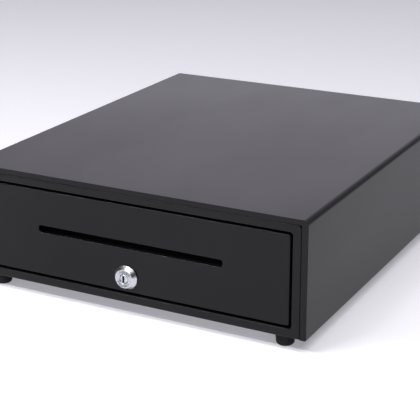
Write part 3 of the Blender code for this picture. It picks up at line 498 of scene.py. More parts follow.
def span(node):
    """A node's box, as its two corners."""
    low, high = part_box(node)
    return Vector(low), Vector(high)


def middle(node):
    low, high = span(node)
    return (low + high) / 2


# ---- Case ----
def cover():
    """The folded cover, with true fold radii, and lips whose cut edges are softened."""
    low, high = span("cover")
    frame_low, frame_high = span("front_frame")
    fold, front_fold, rear_fold = 0.0048, 0.0036, 0.0020
    clear, lip, inset = 0.0003, 0.012, Vector((SHEET,) * 3)
    shell = soft_block(
        low, high,
        (lambda p, d: abs(d.y) > 0.1 and p.z > high.z - TINY, fold, 8),
        (lambda p, d: abs(d.y) > 0.1 and p.z < low.z + TINY, SHEET, 3),
        (lambda p, d: abs(p.y - low.y) < TINY and p.z > high.z - TINY, front_fold, 6),
        (lambda p, d: abs(p.y - high.y) < TINY and p.z > high.z - TINY, rear_fold, 4))
    hollow = soft_block(
        low + inset, high - inset,
        (lambda p, d: abs(d.y) > 0.1 and p.z > high.z - SHEET - TINY, fold - SHEET, 8))
    side, edge = frame_high.x + clear, high.x - lip
    front = blocks(((-side, low.y - FAR, low.z - FAR),
                    (side, low.y + 2 * SHEET, frame_high.z + clear)))
    seat = blocks(((-side, low.y - FAR, low.z - FAR),
                   (side, frame_high.y + 0.0005, low.z + 2 * SHEET)))
    back = blocks(((-edge, high.y - 2 * SHEET, low.z - FAR), (edge, high.y + FAR, high.z - lip)))
    bottom = blocks(((-edge, low.y - FAR, low.z - FAR), (edge, high.y + FAR, low.z + 2 * SHEET)))
    holes = joined(*[drill(0.0018, 0.02, middle(f"rear_screw_{k}"), steps=24)
                     for k in (1, 2, 3, 4)])
    mesh = minus(shell, hollow, front, seat, back, bottom, holes, bevel=0.00035)
    piece("cover", "shell", mesh)


def front_frame():
    """The pressed surround: rounded outer edges, and a rolled edge round the opening."""
    low, high = span("front_frame")
    panel_low, panel_high = span("drawer_front")
    gap = 0.0024            # dark gap round the drawer's front
    shrink = 0.0001         # leaves a visible seam inside the cover's lip
    body = soft_block(
        low + Vector((shrink, 0, 0)), high - Vector((shrink, 0, shrink)),
        (lambda p, d: abs(d.y) > 0.005 and p.z > high.z - shrink - TINY, 0.0030, 6),
        (lambda p, d: abs(p.y - low.y) < TINY, 0.0014, 5))
    left, right = panel_low.x - gap, panel_high.x + gap
    under, over = panel_low.z - gap, panel_high.z + gap

    def opening(grow, y):
        return (rounded(left - grow, right + grow, under - grow, over + grow, 0.0032 + grow, 8), y)

    near, deep = low.y + SHEET, high.y + FAR
    outer, inner = high.x - SHEET, right + SHEET
    floor, ceiling = low.z + SHEET, high.z - SHEET
    channels = [blocks(((-outer, near, floor), (-inner, deep, ceiling)),
                       ((inner, near, floor), (outer, deep, ceiling))),
                blocks(((-outer, near, over + SHEET), (outer, deep, ceiling))),
                blocks(((-outer, near, floor), (outer, deep, under - SHEET)))]
    mesh = minus(body, loft(rolled(opening, 0.0011, low.y, deep), "XZ"), *channels, angle=50)
    piece("front_frame", "pressed", mesh)


def push_in_feet():
    """Rubber feet: a soft shoulder, a slight taper and a shallow recess under each."""
    low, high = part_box("foot_front_left")
    radius, shoulder, toe, tip = (high[0] - low[0]) / 2, 0.0007, 0.0030, high[2]
    top = CASE_BOTTOM - GAP
    profile = [(0, tip), (0.0016, tip), (0.0033, tip - 0.0026), (0.0025, tip - 0.0029),
               (0.0025, top)]
    profile += [(radius - inset, top - rise) for inset, rise in quarter(shoulder, 3)]
    profile += [(radius - 0.0003, top * 0.66), (radius - 0.0007, top * 0.38)]
    profile += [(radius - 0.0008 - rise, inset) for inset, rise in quarter(toe, 6)]
    profile += [(0.0042, 0), (0.0034, 0.0008), (0, 0.0008)]
    mesh = turned(profile, "Z", 56)
    for where in CORNERS:
        x, y, _ = middle("foot_" + where)
        piece("foot_" + where, "rubber", mesh.copy(), location=(x, y, 0))


def cross_head(mesh, top):
    """Cut a cross recess into a screw head whose top looks to +Y."""
    slim, reach, floor = 0.0004, 0.0017, top - 0.0012
    return minus(mesh, blocks(((-slim, floor, -reach), (slim, top + 0.01, reach))),
                 blocks(((-reach, floor, -slim), (reach, top + 0.01, slim))),
                 bevel=0.0001, bevel_steps=1)


def pan_head_screws():
    """Rear screws with a domed head and a cross recess."""
    low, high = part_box("rear_screw_1")
    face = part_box("cover")[1][1]
    dome = high[1] - face
    profile = [(0, dome), (0.0012, dome - 0.00005), (0.0022, dome - 0.0003), (0.0029, dome - 0.0008),
               (0.0032, 0.0006), (0.0032, 0.0003), (0.0015, 0.0003), (0.0015, -0.006),
               (0.0008, -0.0068), (0, -0.0068)]
    mesh = cross_head(turned(profile, "Y", 40), dome)
    for k in (1, 2, 3, 4):
        node = f"rear_screw_{k}"
        x, _, z = middle(node)
        piece(node, "head", mesh.copy(), location=(x, face, z))


def base_plate():
    """The base sheet with five pressed beads and its foot holes."""
    low, high = span("base_plate")
    plate = prism(rounded(low.x, high.x, low.y, high.y, 0.003, 4), "XY", low.z, high.z)
    pitch, half, slope, front, back = 0.056, 0.006, 0.0015, -0.135, 0.105

    def bead(x, inset):
        return rounded(x - half + inset, x + half - inset, front + inset, back - inset,
                       half - inset, 8)

    beads = [loft([(bead(x, 0), low.z - 0.002), (bead(x, 0), low.z),
                   (bead(x, slope), low.z + 0.0007)], "XY")
             for x in (pitch * k for k in range(-2, 3))]
    holes = [drill(0.0028, 0.02, (*middle("foot_" + where)[:2], low.z), "Z", 24)
             for where in CORNERS]
    mesh = minus(plate, *beads, *holes, bevel=0.00015, bevel_steps=1)
    piece("base_plate", "pressed", mesh)


def rear_panel():
    """The rear sheet, with the cut-out for the opening lead's socket."""
    low, high = span("rear_panel")
    sheet = prism(rounded(low.x, high.x, low.z, high.z, 0.0032, 5), "XZ", low.y, high.y)
    socket, half = middle("inlet_socket"), 0.0078
    cut_out = blocks(((socket.x - half, low.y - 0.01, socket.z - half),
                      (socket.x + half, high.y + 0.01, socket.z + half)))
    piece("rear_panel", "sheet", minus(sheet, cut_out, bevel=0.0003))


def inlet():
    """The square jack: a bore with a latch notch, and gold spring contacts inside."""
    low, high = span("inlet_socket")
    x, _, z = middle("inlet_socket")
    collar_front = 0.196

    def slab(half, front, back, under, over):
        return blocks(((x - half, front, z + under), (x + half, back, z + over)))

    body = slab(0.0075, low.y, high.y, -0.0075, 0.0075)
    collar = slab(0.0095, collar_front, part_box("rear_panel")[0][1] - GAP, -0.0095, 0.0095)
    bore = slab(0.0052, high.y - 0.012, high.y + FAR, -0.0045, 0.0025)
    notch = slab(0.0022, high.y - 0.0125, high.y + 0.021, 0, 0.0045)
    piece("inlet_socket", "body", minus(body, bore, notch, join=[collar], bevel=0.0003))
    bends = ((0.0115, 0.0040), (0.0100, 0.0040), (0.0055, 0.0020), (0.0045, 0.0020),
             (0.0030, 0.0041))      # each (depth in the bore, drop below the middle)
    wires = [tube([(x + (k - 2.5) * 0.00115, high.y - depth, z - drop) for depth, drop in bends],
                  0.00022, 6) for k in range(6)]
    piece("inlet_socket", "contacts", joined(*wires), "contact", name="inlet_contacts", added=True)


# ---- Drawer front and lock ----
def drawer_front():
    """The pressed front: softened edges, and a slot with a rolled lip."""
    low, high = span("drawer_front")
    body = soft_block(low, high, (lambda p, d: abs(d.y) > 0.005, 0.0020, 6),
                      (lambda p, d: abs(p.y - low.y) < TINY, 0.0011, 5))
    hollow = blocks(((low.x + SHEET, low.y + SHEET, low.z + SHEET),
                     (high.x - SHEET, high.y + FAR, high.z - SHEET)))
    roll = 0.0008

    def slot(grow, y):
        return (rounded(SLOT_X - SLOT_HALF - grow, SLOT_X + SLOT_HALF + grow,
                        CASE_BOTTOM + SLOT_LOW - grow, CASE_BOTTOM + SLOT_HIGH + grow,
                        0.0026 + grow, 6), y)

    lock = middle("lock_barrel")
    hole = drill(LOCK_HOLE, 0.02, (lock.x, low.y, lock.z), steps=48)
    mesh = minus(body, hollow, loft(rolled(slot, roll, low.y, low.y + FAR), "XZ"), hole, angle=50)
    piece("drawer_front", "panel", mesh)


def rolled(outline_at, roll, face, end):
    """Rings for a cutter whose mouth flares out in a quarter round at a face that looks to -Y."""
    mouth = [outline_at(inset, face + rise - 0.00005) for inset, rise in quarter(roll)]
    return [outline_at(roll, face - FAR)] + mouth + [outline_at(0, end)]


def lock_face():
    """The cam lock's bezel with turned grooves, and its plug with a keyway; a thin liner in dark
    paint inside the keyway is painted shade.
    """
    low, high = span("lock_barrel")
    axis = Vector(((low.x + high.x) / 2, low.y, (low.z + high.z) / 2))
    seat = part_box("drawer_front")[0][1] - GAP - low.y
    length = high.y - low.y
    bore, bezel, face = 0.0045, (high.x - low.x) / 2, 0.0088
    grooves = []
    count, rim, groove = 7, 0.0009, 0.00012
    for k in range(count):
        r = face - rim - (face - rim - bore - 0.0011) * k / (count - 1)
        grooves += [(r + 2 * groove, 0.0), (r, groove), (r - 2 * groove, 0.0)]
    profile = [(bore, length), (0.0090, length), (0.0090, seat), (bezel - 0.0002, seat),
               (bezel, seat - 0.0003), (bezel, seat - 0.0009), (bezel - 0.0002, seat - 0.0012)]
    profile += [(face + 0.0004, 0.0007), (face + 0.00025, 0.0003), (face, 0.00008),
                (face - 0.0004, 0.0)]
    profile += grooves + [(bore + 0.0005, 0.0), (bore, 0.0006)]
    piece("lock_barrel", "turned", turned(profile, "Y", 72), location=axis, smooth=35)

    plug_low, plug_high = span("lock_plug")
    radius = 0.0042
    front = plug_low.y - low.y
    end = length + 0.0002
    profile = [(0, end), (radius, end), (radius, front + 0.0005), (radius - 0.0005, front),
               (radius - 0.0012, front), (radius - 0.0014, front + 0.00012),
               (radius - 0.0016, front), (0, front)]
    plug = turned(profile, "Y", 56)

    def keyway(inset, corner, start, stop):
        outline = rounded(inset - 0.0016, 0.0004 - inset, inset - 0.0039, 0.0029 - inset, corner, 4)
        return prism(outline, "XZ", start, stop)

    key = keyway(0, 0.0005, -FAR, front + 0.0065)
    ward = blocks(((0.0001, -FAR, -0.0006), (0.0009, front + 0.0065, 0.0001)))
    tang = blocks(((-0.002, end - 0.002, -0.002), (0.002, plug_high.y - low.y, 0.002)))
    mesh = minus(plug, key, ward, join=[tang], bevel=0.0001, bevel_steps=1)
    piece("lock_plug", "turned", mesh, location=axis, smooth=35)
    # Painted shade: a thin dark-painted liner inside the keyway makes it look black, where the real
    # lock's tumblers sit in shadow.
    painted_keyway_shade = minus(keyway(0.00005, 0.0004, front + 0.0004, front + 0.0064),
                   keyway(0.00025, 0.0003, -FAR, front + 0.0060), bevel=0.0)
    piece("lock_plug", "keyway_shade_liner", painted_keyway_shade, "front_paint", location=axis, added=True)


def lock_fixings():
    """Behind the front: the barrel's hex nut, the cam and its screw."""
    low, high = span("lock_nut")
    axis = middle("lock_barrel")
    corner, thick = (high.x - low.x) / 2, high.y - low.y

    def hexagon(limit):
        """A hexagon whose corners are cut back to a circle of this radius."""
        ring = []
        for k in range(72):
            turn = 2 * math.pi * k / 72
            reach = math.cos(math.pi / 6) / math.cos(turn % (math.pi / 3) - math.pi / 6)
            reach = min(corner * reach, limit)
            ring.append((reach * math.cos(turn), reach * math.sin(turn)))
        return ring

    cut = corner * 0.90
    body = loft([(hexagon(cut), 0), (hexagon(corner), thick * 0.28),
                 (hexagon(corner), thick * 0.72), (hexagon(cut), thick)], "XZ")
    nut = minus(body, drill(LOCK_HOLE, 0.02, (0, 0, 0), steps=40), bevel_steps=1)
    piece("lock_nut", "hex", nut, location=(axis.x, low.y, axis.z))

    low, high = span("lock_cam")
    hub, half = axis.z - low.z, 0.005
    rise = math.degrees(math.asin(half / hub))
    outline = arc((0, 0), hub, rise, 360 - rise, 28)
    outline += arc((high.x - axis.x - half, 0), half, -90, 90, 14)
    square = 0.0023
    cam = minus(prism(outline, "XZ", 0, high.y - low.y),
                blocks(((-square, -0.01, -square), (square, 0.01, square))))
    piece("lock_cam", "blank", cam, location=(axis.x, low.y, axis.z))

    low, high = span("cam_screw")
    head, shank = 0.0016, high.y - low.y - 0.0016
    profile = [(0, head), (0.0014, head - 0.0001), (0.0026, head - 0.0004), (0.0034, head - 0.0010),
               (0.0036, 0.0002), (0.0035, 0), (0.0011, 0), (0.0011, -shank), (0, -shank)]
    screw = cross_head(turned(profile, "Y", 36), head)
    piece("cam_screw", "head", screw, location=(axis.x, high.y - head, axis.z))


# ---- Rolling gear ----
def rollers_and_pins():
    """Crowned nylon rollers with a hub, on riveted pins."""
    for kind in ("rail", "runner"):
        for hand, side in HANDS:
            node = f"{kind}_roller_{hand}"
            low, high = span(node)
            half, radius, bore, recess = (high.x - low.x) / 2, (high.z - low.z) / 2, PIN_HOLE, 0.0009
            crown = [(radius - 0.0003 * share ** 2, -half * 0.86 * share)
                     for share in (k / 4 for k in range(-4, 5))]
            face = [(bore, half), (0.0036, half), (0.0039, half - recess),
                    (radius - 0.0018, half - recess), (radius - 0.0014, half),
                    (radius - 0.0007, half)]
            profile = face + crown + [(r, -h) for r, h in reversed(face)]
            piece(node, "crowned", turned(profile, "X", 56), location=middle(node))
            pin = f"{kind}_pin_{hand}"
            low, high = span(pin)
            length, head = high.x - low.x, 0.0009
            profile = [(0, length), (0.0026, length - 0.0001), (0.0034, length - 0.0005),
                       (0.0034, length - head), (0.0020, length - head), (0.0020, head + 0.0002),
                       (0.0036, head), (0.0036, 0.0004), (0.0028, 0), (0, 0)]
            mesh = turned(profile, "X", 32)
            if side < 0:
                mesh.transform(HALF_TURN)
            start = low.x if side > 0 else high.x
            piece(pin, "riveted", mesh, location=(start, middle(pin).y, middle(pin).z))


def weld_dent(axis, place, turn=None):
    """A cutter for the shallow dent of a spot weld."""
    profile = [(0, 0.0006), (0.0022, 0.0004), (0.0028, 0), (0.0028, -0.002), (0, -0.002)]
    return moved(turned(profile, axis, 24), place, turn)


def runners():
    """The drawer's folded runners, with spot welds to the pan and a hole for the roller's pin."""
    for hand, side in HANDS:
        node = "runner_" + hand
        low, high = span(node)
        near, far = sorted((abs(low.x), abs(high.x)))
        web, shelf = side * (near + SHEET / 2), high.z - SHEET / 2
        sheet = bent([(web, low.z), (web, shelf), (side * far, shelf)], "XZ", low.y, high.y)
        pin = middle("runner_pin_" + hand)
        tools = [drill(PIN_HOLE, 0.01, (web, pin.y, pin.z), "X")]
        first, last, count = low.y + 0.03, high.y - 0.06, 6
        for k in range(count):
            place = (side * (near + SHEET), first + (last - first) * k / (count - 1),
                     (low.z + high.z) / 2 - 0.002)
            tools.append(weld_dent("X", place, HALF_TURN if side > 0 else None))
        piece(node, "folded", minus(sheet, *tools, bevel=0.00015, bevel_steps=1))


def drawer_pan():
    """The drawer's box: folded walls with round bends, a wall behind the lock, and weld dents."""
    low, high = span("drawer_pan")
    lock_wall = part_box("lock_barrel")[0][1] + 0.0235
    low_wall_top = CASE_BOTTOM + 0.046
    fold = 0.0022
    shell = soft_block(
        low, high,
        (lambda p, d: p.z < low.z + TINY and abs(p.y - low.y) > TINY, fold, 5),
        (lambda p, d: abs(d.z) > 0.01 and p.y > high.y - TINY - fold, 0.0014, 4))
    left, right = low.x + SHEET, high.x - SHEET
    hollow = soft_block(
        (left, lock_wall + SHEET, low.z + SHEET), (right, high.y - SHEET, high.z + FAR),
        (lambda p, d: p.z < low.z + SHEET + TINY, fold - SHEET, 4))
    lock_space = blocks(((left, low.y - FAR, low.z - FAR), (right, lock_wall, high.z + FAR)))
    gap = blocks(((left, lock_wall - FAR, low_wall_top),
                  (right, lock_wall + 2 * SHEET, high.z + FAR)))
    welds = [weld_dent("Y", (side * x, high.y, low.z + 0.052), HALF_TURN)
             for x in (0.135, 0.09, 0.03) for side in (-1, 1)]
    mesh = minus(shell, hollow, lock_space, gap, *welds, bevel=0.00022)
    piece("drawer_pan", "folded", mesh)


# ---- Till ----
def till():
    """The lift-out till: an overhanging rim, a bay for the coin tray and four bill bays."""
    low, high = span("till")
    tray_low, tray_high = span("coin_tray")
    pan_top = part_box("drawer_pan")[1][2]
    overhang, rim_low, floor = 0.0022, pan_top + GAP, tray_low.z - GAP
    inner_x = high.x - overhang - TILL_WALL
    front, back = low.y + overhang, high.y - overhang
    bay_back = tray_high.y + 0.0004
    body = prism(rounded(low.x + overhang, high.x - overhang, front, back, 0.003, 6), "XY",
                 low.z, rim_low + 0.001)
    rim = prism(rounded(low.x, high.x, low.y, high.y, 0.004, 7), "XY", rim_low, high.z)
    coin_bay = pocket(-inner_x, inner_x, front + TILL_WALL, bay_back, floor, high.z, 0.0020)
    pitch = (2 * inner_x + TILL_WALL) / 4
    bays = [pocket(-inner_x + k * pitch, -inner_x + (k + 1) * pitch - TILL_WALL,
                   bay_back + TILL_WALL, back - TILL_WALL, floor, high.z, 0.0030)
            for k in range(4)]
    rod_at = middle("clip_rod")
    rod_hole = drill(PIN_HOLE, 2 * high.x + 0.01, (0, rod_at.y, rod_at.z), "X")
    dips = [prism(arc((-inner_x + (k + 0.5) * pitch - TILL_WALL / 2, high.z + 0.004), 0.016,
                      180, 360, 16), "XZ", bay_back - 0.0005, bay_back + TILL_WALL + 0.0005)
            for k in range(4)]
    mesh = minus(body, coin_bay, *bays, rod_hole, *dips, join=[rim], bevel=0.00045, bevel_steps=3)
    piece("till", "moulding", mesh)


def pocket(left, right, front, back, floor, top, corner):
    """A cutter for a moulded bay: round upright corners and a round floor edge."""
    rings = [(rounded(left + inset, right - inset, front + inset, back - inset,
                      max(corner - inset, 0.0004), 6), floor + rise)
             for inset, rise in quarter(min(corner, 0.0020))]
    rings.append((rounded(left, right, front, back, corner, 6), top + FAR))
    return loft(rings, "XY")


def coin_tray():
    """Two rows of four scooped cups, filleted where the scoop meets its walls."""
    low, high = span("coin_tray")
    wall, depth, rows, columns = TILL_WALL, 0.030, 2, 4
    width = (high.x - low.x - wall) / columns - wall
    length = (high.y - low.y - wall) / rows - wall
    radius, bottom = length / 2, high.z - depth
    fillet = 0.006
    cups = []
    for row in range(rows):
        y = low.y + wall + radius + row * (length + wall)
        for column in range(columns):
            left = low.x + wall + column * (width + wall)

            def scoop(inset):
                return (arc((y, bottom + radius), radius - inset, 180, 360, 24) +
                        [(y + radius - inset, high.z + FAR), (y - radius + inset, high.z + FAR)])

            near = [(scoop(inset), left + rise) for inset, rise in quarter(fillet)]
            far = [(outline, 2 * left + width - x) for outline, x in reversed(near)]
            cups.append(loft(near + far, "YZ"))
    block_mesh = prism(rounded(low.x, high.x, low.y, high.y, 0.0018, 5), "XY", low.z, high.z)
    under = blocks(((low.x + wall, low.y + wall, low.z - FAR),
                    (high.x - wall, high.y - wall, bottom - 0.0025)))
    mesh = minus(block_mesh, *cups, under, bevel=0.00045, bevel_steps=3)
    piece("coin_tray", "moulding", mesh, smooth=40)


def bill_clips():
    """The rod, and on it each clip: a hub, a waisted and ribbed arm with a round pad, a spring."""
    rod_at = middle("clip_rod")
    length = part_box("clip_rod")[1][0] * 2
    piece("clip_rod", "ground", rod(0.002, length, "X", 0.0004), location=rod_at)
    hub_r, bore, reach, half = 0.0045, PIN_HOLE, 0.092, 0.0055
    tip = reach - half
    hub = turned([(bore, 0.007), (hub_r - 0.0004, 0.007), (hub_r, 0.0066), (hub_r, -0.0066),
                  (hub_r - 0.0004, -0.007), (bore, -0.007)], "X", 36)
    root, waist = 0.0036, 0.70      # where the arm leaves the hub, and its least share of width
    side = [(half * (waist + (1 - waist) * abs(2 * t - 1) ** 3), -root - (tip - root) * t)
            for t in (k / 16 for k in range(17))]
    outline = side + arc((0, -tip), half, 0, -180, 18)[1:-1] + [(-x, y) for x, y in reversed(side)]
    arm = prism(outline, "XY", -0.0012, 0.0012)
    rib = prism(rounded(-0.0009, 0.0009, -tip + 0.008, -0.0030, 0.0008, 4), "XY", 0.0008, 0.0026)
    pad = moved(rod(0.0022, 0.009, "X", 0.0006, 28), (0, -tip, -0.0003))
    boss = drill(bore, 0.02, (0, 0, 0), "X", 36)
    mesh = minus(hub, boss, join=[arm, rib, pad], bevel=0.00035, bevel_steps=3)
    for k in (1, 2, 3, 4):
        node = f"bill_clip_{k}"
        thing = piece(node, "moulding", mesh.copy(),
                      location=(JOINT[node + "_lift"]["pos_m"][0], rod_at.y, rod_at.z))
        thing.rotation_euler = (CLIP_REST, 0, 0)
        node = f"clip_spring_{k}"
        low, high = span(node)
        coil = helix(0.0033, 0.0004, high.x - low.x, 6, "X", lead=((0.0033, -0.0055, 0.0004),))
        coil.transform(Matrix.Rotation(math.pi, 4, "X"))
        piece(node, "wound", coil, location=(low.x, rod_at.y, rod_at.z))


# ---- Latch, solenoid, ejector, switch ----
def latch():
    """The hook, its pin with chamfered ends, and the coil spring beside it."""
    low, high = span("latch_pin")
    centre = (low + high) / 2
    piece("latch_pin", "turned", rod(0.002, high.x - low.x), location=centre)
    low, high = span("latch_spring")
    coil = helix(0.0034, 0.0004, high.x - low.x, 7, "X", lead=((0.0034, -0.006, 0.0004),))
    piece("latch_spring", "wound", coil, location=(low.x, centre.y, centre.z))

    low, high = span("latch_hook")
    axis = Vector(JOINT["latch_turn"]["pos_m"])
    link_z = middle("solenoid_plunger").z
    front, tip_back, tip_low = low.y, low.y + 0.004, low.z
    arm_half, down, up = 0.0035, axis.z - 0.003, axis.z + 0.003
    outline = [(front, tip_low + 0.0015), (front + 0.0015, tip_low), (tip_back, tip_low),
               (tip_back, down - 0.0006), (tip_back + 0.0006, down)]
    outline += arc((axis.y, axis.z), 0.005, 217, 360, 18)
    outline += arc((axis.y, link_z), arm_half, 0, 180, 18)
    outline += [(axis.y - arm_half, up + 0.004)]
    outline += arc((axis.y - arm_half - 0.004, up + 0.004), 0.004, 0, -90, 6)[1:]
    outline += [(front + 0.001, up), (front, up - 0.001)]
    mesh = minus(prism(outline, "YZ", low.x, high.x),
                 drill(PIN_HOLE, 0.01, (0, axis.y, axis.z), "X"),
                 drill(0.0019, 0.01, (0, axis.y, link_z), "X"))
    piece("latch_hook", "blanked", mesh)


def solenoid():
    """Wound coil on its bobbin, turned plunger with a fork, and the cross pin."""
    low, high = span("solenoid_coil")
    centre = (low + high) / 2
    length, flange, bore, turns = high.y - low.y, (high.x - low.x) / 2, 0.0039, 34
    wound = [(0.0080 - 0.00016 * (1 - math.cos(2 * math.pi * k / 4)),
              0.0018 + (length - 0.0036) * k / (4 * turns)) for k in range(4 * turns + 1)]
    profile = [(bore, length), (flange - 0.0002, length), (flange, length - 0.0002),
               (flange, length - 0.0013), (flange - 0.0003, length - 0.0016)]
    profile += wound[::-1] + [(flange - 0.0003, 0.0016), (flange, 0.0013), (flange, 0.0002),
                              (flange - 0.0002, 0), (bore, 0)]
    piece("solenoid_coil", "wound", turned(profile, "Y", 40),
          location=(centre.x, low.y, centre.z))
    low, high = span("solenoid_plunger")
    centre, pin = (low + high) / 2, middle("plunger_pin")
    mesh = minus(moved(rod(0.0035, high.y - low.y, "Y", 0.0005, 40), centre),
                 blocks(((-0.002, low.y - 0.01, centre.z - 0.005),
                         (0.002, low.y + 0.010, centre.z + 0.005))),
                 drill(0.0015, 0.02, pin, "X"), bevel=0.00015, bevel_steps=1)
    piece("solenoid_plunger", "turned", mesh)
    low, high = span("plunger_pin")
    piece("plunger_pin", "turned", rod(0.0012, high.x - low.x, "X", 0.0003),
          location=pin)


def ejector():
    """The plunger that pushes the drawer out, with its spring."""
    low, high = span("eject_plunger")
    centre = (low + high) / 2
    length, head = high.y - low.y, 0.003
    profile = [(0, length), (0.0026, length), (0.003, length - 0.0004), (0.003, head + 0.0003),
               (0.0034, head), (0.0055, head), (0.006, head - 0.0005), (0.006, 0.0010),
               (0.0052, 0.0002), (0.0040, 0), (0, 0)]
    piece("eject_plunger", "turned", turned(profile, "Y", 40),
          location=(centre.x, low.y, centre.z))
    low, high = span("eject_spring")
    coil = helix(0.0046, 0.0005, high.y - low.y, 7, "Y", 24)
    piece("eject_spring", "wound", coil, location=(centre.x, low.y, centre.z))


def drawer_switch():
    """The body of a small snap switch, with its parting line and fixing holes."""
    low, high = span("switch_body")
    seam_y, seam, depth, reach = (low.y + high.y) / 2, 0.0001, 0.0002, 0.01
    grooves = blocks(*[((start, seam_y - seam, low.z - reach), (stop, seam_y + seam, high.z + reach))
                       for start, stop in ((low.x - reach, low.x + depth),
                                           (high.x - depth, high.x + reach))])
    holes = [drill(0.0011, 0.02, (x, seam_y, low.z + 0.0070))
             for x in (low.x + 0.0035, high.x - 0.0035)]
    body = minus(blocks((low, high)), grooves, *holes, bevel=0.0004, bevel_steps=3)
    piece("switch_body", "moulding", body)


def u_path(low_a, high_a, low_z, high_z):
    """The middle line of a sheet that is folded up at both ends."""
    half = SHEET / 2
    return [(low_a + half, high_z), (low_a + half, low_z + half),
            (high_a - half, low_z + half), (high_a - half, high_z)]


def bend_brackets():
    """Folded brackets with round bends: the latch's, the solenoid's, the ejector's, the striker."""
    low, high = span("latch_bracket")
    notch = blocks(((-0.030, 0.140, CASE_BOTTOM + 0.042), (0.030, 0.170, CASE_BOTTOM + 0.080)))
    sheet = bent(u_path(low.x, high.x, low.z, high.z), "XZ", low.y, high.y)
    mesh = minus(sheet, notch, drill(PIN_HOLE, 0.06, middle("latch_pin"), "X"))
    piece("latch_bracket", "folded", mesh)

    low, high = span("solenoid_frame")
    coil = middle("solenoid_coil")
    sheet = bent(u_path(low.y, high.y, low.z, high.z), "YZ", low.x, high.x)
    mesh = minus(sheet, drill(0.0041, 0.008, (coil.x, low.y, coil.z), "Y", 36))
    piece("solenoid_frame", "folded", mesh)

    low, high = span("eject_guide")
    plunger = middle("eject_plunger")
    wall, foot = low.y + SHEET / 2, low.z + SHEET / 2
    sheet = bent([(high.y, foot), (wall, foot), (wall, high.z)], "YZ", low.x, high.x)
    mesh = minus(sheet, drill(0.0034, 0.010, (plunger.x, wall, plunger.z), "Y", 36))
    piece("eject_guide", "folded", mesh)

    low, high = span("striker")
    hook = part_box("latch_hook")[0][1]
    wall, foot = low.y + SHEET / 2, low.z + SHEET / 2
    sheet = bent([(wall, high.z), (wall, foot), (high.y, foot)], "YZ", low.x, high.x)
    hole = prism(rounded(-0.003, 0.003, hook - 0.0025, hook + 0.0075, 0.001, 4), "XY",
                 low.z - 0.01, low.z + 0.01)
    piece("striker", "folded", minus(sheet, hole))


def switch_leaf():
    """The switch's spring leaf, bent to a blunt nose where the drawer leans on it."""
    low, high = span("switch_lever")
    body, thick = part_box("switch_body")[0], 0.0004
    nose = high.x - 0.0035
    tip = low.y + thick / 2 + 0.0001
    path = [(low.x + 0.0002, body[1] - 0.0010), (nose - 0.0045, body[1] - 0.0050),
            (nose - 0.0014, tip), (nose + 0.0010, tip), (high.x - 0.0003, body[1] - 0.0060)]
    mesh = bent(path, "XY", low.z, high.z, thick, 0.0010, 6)
    piece("switch_lever", "bent", minus(mesh, bevel=0.00008, bevel_steps=1), name="switch_leaf_bent")


def rails():
    """The case's side members: a foot, a web, and the lip and track that the rollers run on."""
    for hand, side in HANDS:
        node = "rail_" + hand
        low, high = span(node)
        near, web = sorted((abs(low.x), abs(high.x)))
        inner, foot = web - SHEET, near + 0.0025
        roller, runner_wheel = middle("rail_roller_" + hand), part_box("runner_roller_" + hand)
        track = runner_wheel[0][2] - GAP
        fold = 0.0018
        outer = [(foot, low.z)] + arc((web - fold, low.z + fold), fold, -90, 0, 5)
        outer += arc((web - fold, high.z - fold), fold, 0, 90, 5) + [(near, high.z)]
        inside = [(near, high.z - SHEET)]
        inside += arc((inner - fold + SHEET, high.z - fold), fold - SHEET, 90, 0, 4)
        inside += [(inner, track), (near, track), (near, track - SHEET), (inner, track - SHEET)]
        inside += arc((inner - fold + SHEET, low.z + fold), fold - SHEET, 0, -90, 4)
        inside += [(foot, low.z + SHEET)]
        outline = [(side * x, z) for x, z in outer + inside]
        gap_near, gap_far = sorted((side * (near - 0.001), side * (inner - GAP)))
        gap = blocks(((gap_near, low.y - FAR, high.z - 2 * SHEET),
                      (gap_far, roller.y + 0.012, high.z + SHEET)))
        hole = drill(PIN_HOLE, 0.006, (side * web, roller.y, roller.z), "X")
        mesh = minus(prism(outline, "XZ", low.y, high.y), gap, hole, angle=50)
        piece(node, "rolled", mesh)


# ---- Stage, camera, light ----
def stage():
    bm = bmesh.new()
    bmesh.ops.create_grid(bm, x_segments=2, y_segments=2, size=14.0)
    floor = placed("floor", to_mesh(bm, "floor"))
    floor.data.materials.append(MATERIALS["floor"])


def area_light(name, location, target, size, power):
    data = bpy.data.lights.new(name, "AREA")
    data.shape = "RECTANGLE"
    data.size, data.size_y = size
    data.energy = power
    lamp = placed(name, data, location)
    lamp.rotation_euler = (Vector(target) - Vector(location)).to_track_quat("-Z", "Y").to_euler()


